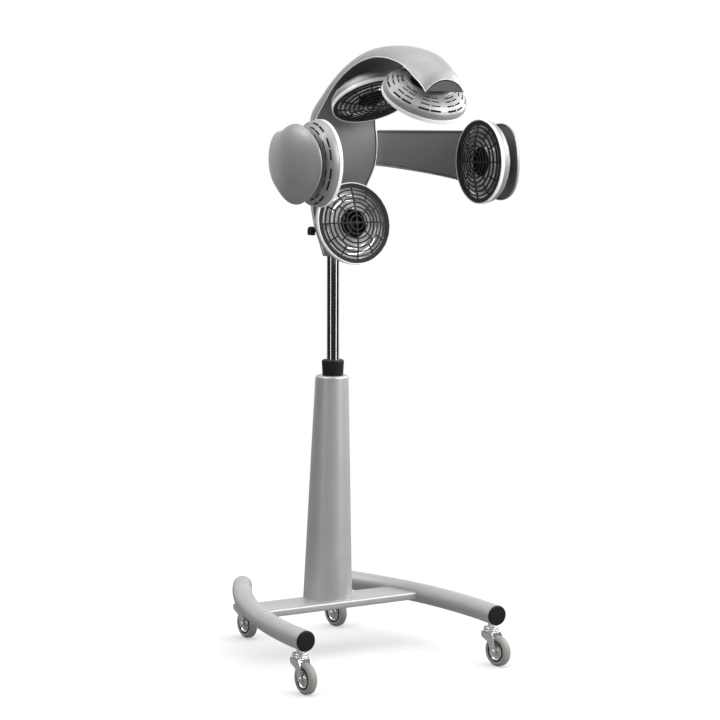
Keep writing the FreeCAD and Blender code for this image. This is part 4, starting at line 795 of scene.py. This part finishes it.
def paddle_rows(degrees):
    """The paddle's rows: x = X - bow cos^2, y = Y + half cos, depth as sin (1 + taper cos)."""
    angle = np.radians(degrees)
    sin, cos = np.sin(angle), np.cos(angle)
    out = unit(joined(1.0, 2 * PADDLE_BOW / PADDLE_HALF * cos))
    join = math.radians(PADDLE_JOIN)
    fall = ENTRY_LOW - PADDLE_Z + PADDLE_R * math.sin(join)
    share = np.clip((1 - cos) / (1 - math.cos(join)), 0, 1)
    low = np.where(degrees < PADDLE_JOIN, ENTRY_LOW - fall * share ** PADDLE_DROP, PADDLE_Z - PADDLE_R * sin)
    high = PADDLE_Z + PADDLE_R * sin
    high = np.where(degrees < 90, np.maximum(high, ARM_TOP), high)
    depth = PADDLE_DEPTH * np.where(degrees < 90, 1.0, sin * (1 + PADDLE_TAPER * cos))
    return joined(PADDLE_X - PADDLE_BOW * cos ** 2, PADDLE_Y + PADDLE_HALF * cos, *out.T, low, high, depth)


def arm_stations():
    """Rows of rim x, y, outward x, y, low edge, high edge and depth, from hinge to end."""
    end = paddle_rows(np.array([0.0]))[0]
    lead = (end[0] - ARM_PULL * end[3] / end[2], end[1] + ARM_PULL)
    poles = np.array([ARM_ROOT, ARM_LEAD, lead, end[:2]])
    t = np.linspace(0, 1, 11)[:, None]
    plan = ((1 - t) ** 3 * poles[0] + 3 * t * (1 - t) ** 2 * poles[1]
            + 3 * t * t * (1 - t) * poles[2] + t ** 3 * poles[3])
    slope = ((1 - t) ** 2 * (poles[1] - poles[0]) + 2 * t * (1 - t) * (poles[2] - poles[1])
             + t * t * (poles[3] - poles[2]))
    out = unit(joined(-slope[:, 1], slope[:, 0]))
    t = t[:, 0]
    low = ROOT_LOW - (ROOT_LOW - ENTRY_LOW) * t ** ARM_FALL
    depth = ROOT_DEPTH + (PADDLE_DEPTH - ROOT_DEPTH) * t ** ARM_SWELL
    entry = joined(*plan.T, *out.T, low, ARM_TOP, depth)
    degrees = np.concatenate([[30, 45, 55], np.linspace(65, 155, 10), [163, 170, 175, 178, 180]])
    return np.concatenate([entry, paddle_rows(degrees)])


def eased(rows, reach):
    """Edges and depth averaged over a Gaussian window along the curve, narrower towards both ends."""
    along = np.concatenate([[0], np.cumsum(np.hypot(*np.diff(rows[:, :2], axis=0).T))])
    window = np.minimum(reach, END_EASE * np.minimum(along, along[-1] - along) + 1e-3)[:, None]
    weight = np.exp(-0.5 * ((along[None] - along[:, None]) / window) ** 2) * np.gradient(along)[None]
    weight /= weight.sum(1, keepdims=True)
    rows[:, 4:] = weight @ rows[:, 4:]
    return rows


arm_rows = arm_stations()
arm_rows = eased(smooth_rows(arm_rows, 5, np.ones(len(arm_rows) - 1)), ARM_EASE)
rim_x, rim_y, out_x, out_y, low, high, depth = arm_rows.T
ARM_RIM, ARM_OUT = joined(rim_x, rim_y, (low + high) / 2), unit(joined(out_x, out_y, 0.0))
ARM_HALF, ARM_DEPTH = np.maximum((high - low) / 2, 0.0), np.maximum(depth, 0.0)
SKY = np.array([0.0, 0.0, 1.0])


# %% [markdown]
# Inside the arm lies a flat panel, with the hinge's knuckle on a link and the
# pad that the lamp head is fixed to.

# %% Arm covers
KNUCKLE_LINE = [(4.1, 1243, 0), (8, 1243, 1), (8, 1287, 1), (4.1, 1287, 0)]
LINK_LINE = [(90, -28, 0.5), (107, -28, 0.5), (107, -21.5, 0.5), (90, -21.5, 0.5)]
LINK_Z, LINK_HIGH = 1249.0, 32.0
PAD_LINE = [(0, 0, 0), (12, 0, 1), (12, 9, 2), (14, 13, 0), (0, 13, 0)]
PAD_PLACE = (271.0, -326.0, 1236.0)
SLIVER = 0.5   # half width below which the panel stops


def arm_inner():
    """Flat panel inside the arm's rim, with its knuckle, the link to it and the head's pad."""
    recess = RIM_RECESS * np.minimum(1, 2 * ARM_DEPTH / PADDLE_DEPTH)
    half, depth = np.maximum(ARM_HALF - ARM_T, 0), np.maximum(ARM_DEPTH - ARM_T, 0)
    reach = np.maximum(arch_half_at(half, depth, recess + INNER_T) - COVER_GAP, 0.0)[:, None, None]
    used = np.flatnonzero(reach[:, 0, 0] > SLIVER)
    share = np.linspace(-1, 1, 17)[None, :, None]
    near = ((ARM_RIM + ARM_OUT * recess[:, None])[:, None] + reach * share * SKY)[used]
    panel = shell_part(near, near + ARM_OUT[used, None] * INNER_T)
    knuckle = placed(lathe(KNUCKLE_LINE, 64), (*HINGE, 0))
    link = placed(plate(rounded(LINK_LINE), LINK_HIGH), (0, 0, LINK_Z))
    pad = placed(lathe(PAD_LINE, 64), PAD_PLACE, (0, -1, 0), (1, 0, 0))
    return stacked(panel, knuckle, link, pad)


right_skin = outward_skin(arch(ARM_RIM, SKY, ARM_OUT, ARM_HALF, ARM_DEPTH), ARM_OUT)
for body, turn in (("right_arm", lambda part: part), ("left_arm", mirrored)):
    piece(body + "_outer_skin", turn(right_skin), body, "silver_plastic", [body + "_outer_cover"],
          wall=ARM_T, bevel=0.7)
    piece(body + "_inner_skin", turn(arm_inner()), body, "dark_plastic", [body + "_inner_cover"], bevel=0.4)

# %% [markdown]
# ## Lamp heads
# All five heads are alike: a pale ring, a domed guard, a spun reflector and a
# slotted housing. Each is modelled once about its own axis, with the face at 0
# and the back at about 48 mm, and then placed five times.

# %% Where the heads are
HEAD_TILTS = {   # tilt in degrees, and y and z of the face's centre
    "nape": (11.0, -106.0, 1084.0), "back": (-59.4, -194.0, 1379.0), "front": (-123.0, -420.0, 1382.0)}
SIDE_HEAD = (215.0, -326.0, 1236.0)


def head_frame(name):
    """Face centre, sideways direction, and the direction away from the client."""
    if name in HEAD_TILTS:
        tilt, y, z = HEAD_TILTS[name]
        tilt = math.radians(tilt)
        return (0, y, z), (1, 0, 0), (0, math.cos(tilt), -math.sin(tilt))
    side = -1.0 if name == "left" else 1.0
    return (side * SIDE_HEAD[0], *SIDE_HEAD[1:]), (0, -side, 0), (side, 0, 0)


# %% [markdown]
# The housing's wall is two surfaces of revolution. The grid's rows lie on the
# slots' edges and its columns bend to their ends, so leaving out cells cuts
# clean slots. A black sheet behind them is painted shade: it hides the lit
# inside, so the slots show dark.

# %% Housing
FACE_R, RING_R, RING_DEPTH = 98.5, 100.8, 8.5
HOUSING_R, HOUSING_WALL, NECK_R = 99.5, 2.5, 45.5
HOUSING_LINE = [(HOUSING_R, RING_DEPTH, 0), (99.3, 15, 8), (97.8, 21.5, 8), (92.5, 28.6, 10),
                (83.6, 35.2, 20), (73, 39.9, 30), (57.5, 45.3, 1.5), (54.6, 47.2, 2), (51, 48.2, 3),
                (47.0, 48.1, 2), (NECK_R, 47.0, 0)]
SCREEN_LINE = [(95.2, 12, 0), (94.6, 18, 6), (89.5, 25.5, 8), (72, 34.6, 20), (56, 40.5, 4), (48, 44.5, 3),
               (40, 45.5, 2), (13.8, 45.5, 0)]
SCREEN_WALL = 0.8
SLOT_ROWS, SLOT_HALF = (93.2, 83.6, 73.0, 63.7), 1.45
ROWS_BETWEEN = [88.4, 78.3, 68.3]
RIB_HALF, BRIDGE_HALF = 9.5, 1.7
SLOT_CELLS, RIB_CELLS, GROUPS = 9, 4, 8


def slot_columns(radii):
    """Angles round the housing for each radius, and which cells are in a slot."""
    radii = np.asarray(radii, float)[:, None]
    rib, bridge, half = np.arcsin(RIB_HALF / radii), np.arcsin(BRIDGE_HALF / radii), np.pi / GROUPS
    slot = bridge + (half - rib - bridge) * np.linspace(0, 1, SLOT_CELLS + 1)[None]
    web = half - rib * np.linspace(1, 0, RIB_CELLS + 1)[None, 1:-1]
    right = np.concatenate([0 * bridge, slot, web], 1)
    sector = np.concatenate([0 * bridge - half, -right[:, :0:-1], right], 1)
    count = right.shape[1]
    cell = np.arange(sector.shape[1]) - count
    in_slot = ((cell > 0) & (cell <= SLOT_CELLS)) | ((cell < -1) & (cell >= -1 - SLOT_CELLS))
    turns = [sector + half * (2 * k + 1) for k in range(GROUPS)]
    return np.concatenate(turns, 1), np.tile(in_slot, GROUPS)


def swept(line, turn):
    """Profile (radius, height) swept round Z, each row through its own angles."""
    return joined(line[:, :1] * np.cos(turn), line[:, :1] * np.sin(turn), line[:, 1:])


def housing():
    """Outside profile from ring to air intake, its offset, and slots in eight pairs of groups."""
    outside = rounded(HOUSING_LINE, closed=False, steps=6)
    order = np.argsort(outside[:, 0])
    edges = [r + side * SLOT_HALF for r in SLOT_ROWS for side in (-1, 1)] + ROWS_BETWEEN
    radii = np.unique(np.round(np.concatenate([outside[:, 0], edges]), 3))[::-1]
    line = joined(radii, np.interp(radii, outside[order, 0], outside[order, 1]))
    turn, in_slot = slot_columns(radii)
    inside = offset(line, HOUSING_WALL)
    inside[0], inside[-1] = (HOUSING_R - HOUSING_WALL, RING_DEPTH), (NECK_R, line[-1, 1] - HOUSING_WALL)
    middle = (radii[:-1] + radii[1:]) / 2
    in_row = np.min(np.abs(middle[:, None] - np.array(SLOT_ROWS)[None]), axis=1) < SLOT_HALF
    return shell_part(swept(line, turn), swept(inside, turn), ~(in_row[:, None] & in_slot[None]), wrap=True)


def turned_shell(front, back, segments):
    """Closed shell of revolution between two open profiles."""
    near, far = (turned(line, closed=False, segments=segments)[0].reshape(len(line), segments, 3)
                 for line in (front, back))
    return shell_part(near, far, wrap=True)


def painted_shade_screen():
    """Thin black shell of painted shade just inside the housing, seen through its slots, and the motor's
    plate.
    """
    front = rounded(SCREEN_LINE, closed=False, steps=6)
    return turned_shell(front, offset(front, SCREEN_WALL), 96)


# %% [markdown]
# The guard is a shallow ball cap of rings and spokes in a flat band. A spoke
# keeps its width all the way out, so the grid's columns are bent to leave the
# same gap for it on each ring.

# %% Guard
HUB_R, FIRST_RING, GUARD_PITCH, RING_COUNT, BAR = 8.3, 17.9, 10.65, 7, 3.4
GUARD_BALL, GUARD_RISE, GUARD_T, BAND_R = 277.5, 15.0, 2.5, 88.0
CROSS_R, CAP_RIM, SLIM_SPOKE = 6.5, 89.0, math.radians(6.0)
BAND_LINE = [(BAND_R, 0.2, 0.8), (90.5, -0.1, 1.0), (97.4, -0.1, 1.0), (98.3, 0.8, 0.5), (98.3, 6.5, 0),
             (96.3, 6.5, 0), (96.3, 3, 0.5), (BAND_R, 3, 0.5)]
SCREW_HEAD_LINE = [(0, -0.2, 0), (0.8, -0.35, 0.3), (1.9, -0.45, 0.4), (2.3, -0.1, 0.2), (2.3, 0.8, 0),
                   (0, 0.8, 0)]
SCREW_REACH = 92.3
SPOKES_IN_GAP = ((0,), (0,), (0, 45), (0, 45), (0, 45), (0, 30, 60), (0, 30, 60), (0, 30, 60))


def guard_columns(radii):
    """Angles of the columns for each radius, and the spoke of every cell, or -1."""
    half = np.arcsin(np.clip(BAR / 2 / np.maximum(radii, CROSS_R), 0, 1))[:, None]
    slim = np.minimum(half, SLIM_SPOKE)
    columns, owner = [], []
    for spoke, wide, cells in ((0, half, 7), (30, slim, 3), (45, slim, 3), (60, slim, 7)):
        middle, after = math.radians(spoke), {0: 30, 30: 45, 45: 60, 60: 90}[spoke]
        start, end = middle + wide, math.radians(after) - (half if after == 90 else slim)
        free = start + (end - start) * np.linspace(0, 1, cells + 1)[None, :-1]
        columns += [middle - wide, middle + 0 * wide, free]
        owner += [spoke, spoke] + [-1] * cells
    quarter = np.concatenate(columns, 1)
    return np.concatenate([quarter + k * np.pi / 2 for k in range(4)], 1), np.tile(owner, 4)


def guard():
    """Cap s = ball - rise - sqrt(ball^2 - r^2), open between rings and spokes, and its band."""
    rings = FIRST_RING + GUARD_PITCH * np.arange(RING_COUNT)
    inner, outer = np.append(CROSS_R, rings + BAR / 2), np.append(rings - BAR / 2, BAND_R)
    radii = np.concatenate([[0.0, CROSS_R / 2], joined(inner, outer).reshape(-1), [CAP_RIM]])
    turn, owner = guard_columns(radii)
    reach = np.repeat(radii[:, None], turn.shape[1], 1)
    for row, share in ((1, 0.5), (2, 1.0)):
        reach[row] = share * HUB_R / (np.abs(np.cos(turn[row])) + np.abs(np.sin(turn[row])))
    rise = GUARD_BALL - GUARD_RISE - np.sqrt(GUARD_BALL ** 2 - reach ** 2)
    near = joined(reach * np.cos(turn), reach * np.sin(turn), rise)
    keep = np.ones((len(radii) - 1, turn.shape[1]), bool)
    for gap, spokes in enumerate(SPOKES_IN_GAP):
        keep[2 + 2 * gap] = np.isin(owner, spokes)
    cap = shell_part(near, near + [0, 0, GUARD_T], keep, wrap=True)
    return stacked(cap, lathe(BAND_LINE, 160))


def guard_screws():
    """Four countersunk screws in the band, one at the end of each long spoke."""
    head = lathe(SCREW_HEAD_LINE, 32)
    ends = ((SCREW_REACH, 0, 0), (0, SCREW_REACH, 0), (-SCREW_REACH, 0, 0), (0, -SCREW_REACH, 0))
    return stacked(*(placed(head, end) for end in ends))


# %% [markdown]
# A pale ring frames the guard. Behind the lamp lies a spun reflector with a
# trough, and a raised throat round the fan's opening.

# %% Ring and reflector
RING_LINE = [(FACE_R, -0.5, 0.3), (100.1, -0.5, 0.5), (RING_R, 0.6, 0.5), (RING_R, RING_DEPTH, 0.4),
             (96, RING_DEPTH, 0), (96, 6.5, 0), (FACE_R, 6.5, 0)]
DISH_LINE = [(96.5, 8.5, 0), (92, 8.5, 2), (87, 15, 6), (75, 21, 8), (57, 21, 8), (43, 14, 6), (36, 6, 0)]
DISH_WALL = 1.2


def reflector():
    """Spun dish, its rim closed flat against the ring."""
    front = rounded(DISH_LINE, closed=False, steps=6)
    back = offset(front, -DISH_WALL)
    back[0, 1] = front[0, 1]
    return turned_shell(front, back, 128)


HEAD_PARTS = (("housing_shell", housing(), "silver_plastic", "housing", 0.0),
              # the black screen inside each housing is painted shade that keeps the slots dark
              ("painted_shade_screen", painted_shade_screen(), "black_plastic", "housing", 0.0),
              ("pale_ring", lathe(RING_LINE, 160), "white_plastic", "bezel", 0.0),
              ("guard", guard(), "charcoal_plastic", "grille", 0.5),
              ("guard_screws", guard_screws(), "black_plastic", "grille", 0.0),
              ("reflector_dish", reflector(), "reflector_metal", "reflector", 0.0))
for name in (*HEAD_TILTS, "left", "right"):
    body = "hood" if name in HEAD_TILTS else name + "_arm"
    for label, part, slot, node, bevel in HEAD_PARTS:
        shared = name in HEAD_TILTS and node != "housing"
        stands_for = "hood_" + node + "s" if shared else name + "_" + node
        piece(name + "_" + label, placed(part, *head_frame(name)), body, slot, [stands_for], bevel=bevel)

# %% [markdown]
# ## Room and light
# The floor that the camera sees is nearly white by itself and darkens where the
# object closes off its sky, which makes the contact shadow. Further out it turns
# plain white, so no horizon shows. Other rays meet a darker floor, so nothing
# is lit too brightly from below.

# %% Floor
FLOOR_HALF = 6.0
FADE_START, FADE_END = 0.9, 2.6   # metres from the mast
FLOOR_DEEP, FLOOR_PALE = (0.11, 0.11, 0.11), (0.13, 0.13, 0.13)
FLOOR_LIFT, SHADOW_DEEP, SHADOW_REACH = 0.94, 0.5, 0.3
SKY_CLOSED, SKY_OPEN = 0.3, 0.86   # shares of open sky at which a shadow is deepest, and gone
FLOOR_BOUNCE, FLOOR_MIRRORED = 0.45, 0.25   # what the floor gives back to matt and to shiny surfaces


def floor_finish():
    """White floor that keeps shadows near the object and turns plain white further out."""
    material = bpy.data.materials.new("studio_floor")
    material.use_nodes = True
    tree = material.node_tree
    tree.nodes.remove(tree.nodes["Principled BSDF"])
    place = add(tree, "TexCoord", out="Object")
    distance = add(tree, "VectorMath", {0: place}, "Value", operation="LENGTH")
    fade = spread(tree, distance, 0.0, 1.0, FADE_START, FADE_END)
    grain = blended(tree, spread(tree, noise(tree, 40.0), 0, 1), FLOOR_DEEP, FLOOR_PALE)
    matt = add(tree, "BsdfDiffuse", {"Color": grain})
    open_sky = add(tree, "AmbientOcclusion", {"Distance": SHADOW_REACH}, "AO")
    lift = spread(tree, open_sky, SHADOW_DEEP, FLOOR_LIFT, SKY_CLOSED, SKY_OPEN)
    lit = add(tree, "AddShader", {0: matt, 1: add(tree, "Emission", {"Strength": lift})})
    near_far = add(tree, "MixShader", {0: fade, 1: lit, 2: add(tree, "Emission")})
    mirrored_ray = add(tree, "LightPath", out="Is Glossy Ray")
    given = blended(tree, mirrored_ray, (FLOOR_BOUNCE,) * 3, (FLOOR_MIRRORED,) * 3)
    bounce = add(tree, "BsdfDiffuse", {"Color": given})
    shown = add(tree, "MixShader", {0: add(tree, "LightPath", out="Is Camera Ray"), 1: bounce, 2: near_far})
    tree.links.new(shown, tree.nodes["Material Output"].inputs["Surface"])
    return material


corner = np.array([[-1, -1], [1, -1], [1, 1], [-1, 1]]) * FLOOR_HALF
floor_mesh = bpy.data.meshes.new("studio_floor")
floor_mesh.from_pydata([(x, y, 0.0) for x, y in corner], [], [(0, 1, 2, 3)])
floor_mesh.materials.append(floor_finish())
new_object("studio_floor", floor_mesh)

# %% [markdown]
# The world is white to the eye. Shiny surfaces mirror a white backdrop, a pale
# ceiling and a dim room on the camera's side, so the chrome shows dark and
# bright bands. The lamps are large, for soft gradients on satin covers.

# %% World and lamps
WORLD_LIGHT = 0.38   # on everything that is not seen or mirrored
ROOM_DARK, CEILING = 0.03, 0.85   # mirrored from the camera's side of the room, and from above
BACKDROP_SPAN, CEILING_SPAN = (0.35, 0.7), (0.03, 0.5)   # how far a ray points there as each sets in
LAMP_TARGET = Vector((0.0, -0.15, 1.0))
LAMPS = {   # to the camera's right, away from it, up, width and length in metres, and watts
    "key_softbox": (2.5, -1.7, 2.5, 1.4, 1.8, 85.0), "side_softbox": (3.0, 1.0, 2.3, 1.2, 2.0, 88.0),
    "top_softbox": (0.0, 0.0, 3.8, 2.6, 2.6, 36.0), "left_softbox": (-2.0, -0.8, 3.2, 1.4, 1.4, 36.0),
    "left_strip": (-2.2, -2.6, 0.7, 0.35, 1.5, 5.0), "right_strip": (2.9, -1.5, 0.7, 0.4, 1.4, 7.0)}


def share_along(tree, place, direction):
    """How far a direction of the world points along the given one, from -1 to 1."""
    return add(tree, "VectorMath", {0: place, 1: direction}, "Value", operation="DOT_PRODUCT")


def blended_value(tree, share, first, second):
    """Two numbers mixed by a share. Either may be a socket."""
    return add(tree, "Mix", {"Factor": share, 2: first, 3: second})


def studio_world():
    """White to the eye, and a small studio for mirrored rays."""
    world = bpy.data.worlds.new("studio")
    bpy.context.scene.world = world
    world.use_nodes = True
    tree = world.node_tree
    place = add(tree, "TexCoord", out="Generated")
    backdrop = spread(tree, share_along(tree, place, AHEAD), ROOM_DARK, 1.0, *BACKDROP_SPAN)
    ceiling = spread(tree, share_along(tree, place, UP), 0.0, CEILING, *CEILING_SPAN)
    mirrored_light = add(tree, "Math", {0: backdrop, 1: ceiling}, operation="MAXIMUM")
    lighting = blended_value(tree, add(tree, "LightPath", out="Is Glossy Ray"), WORLD_LIGHT, mirrored_light)
    strength = blended_value(tree, add(tree, "LightPath", out="Is Camera Ray"), lighting, 1.0)
    back = tree.nodes["Background"]
    tree.links.new(strength, back.inputs["Strength"])
    back.inputs["Color"].default_value = (1.0, 1.0, 1.0, 1.0)


def softbox(name, side, ahead, height, width, length, power):
    """Oblong lamp that looks at the object."""
    data = bpy.data.lights.new(name, "AREA")
    data.shape = "RECTANGLE"
    data.size, data.size_y = width, length
    data.energy = power
    lamp = new_object(name, data)
    lamp.location = RIGHT * side + AHEAD * ahead + UP * height
    lamp.rotation_euler = (lamp.location - LAMP_TARGET).to_track_quat("Z", "Y").to_euler()


studio_world()
for name, row in LAMPS.items():
    softbox(name, *row)
bpy.context.scene.view_settings.view_transform = "Standard"
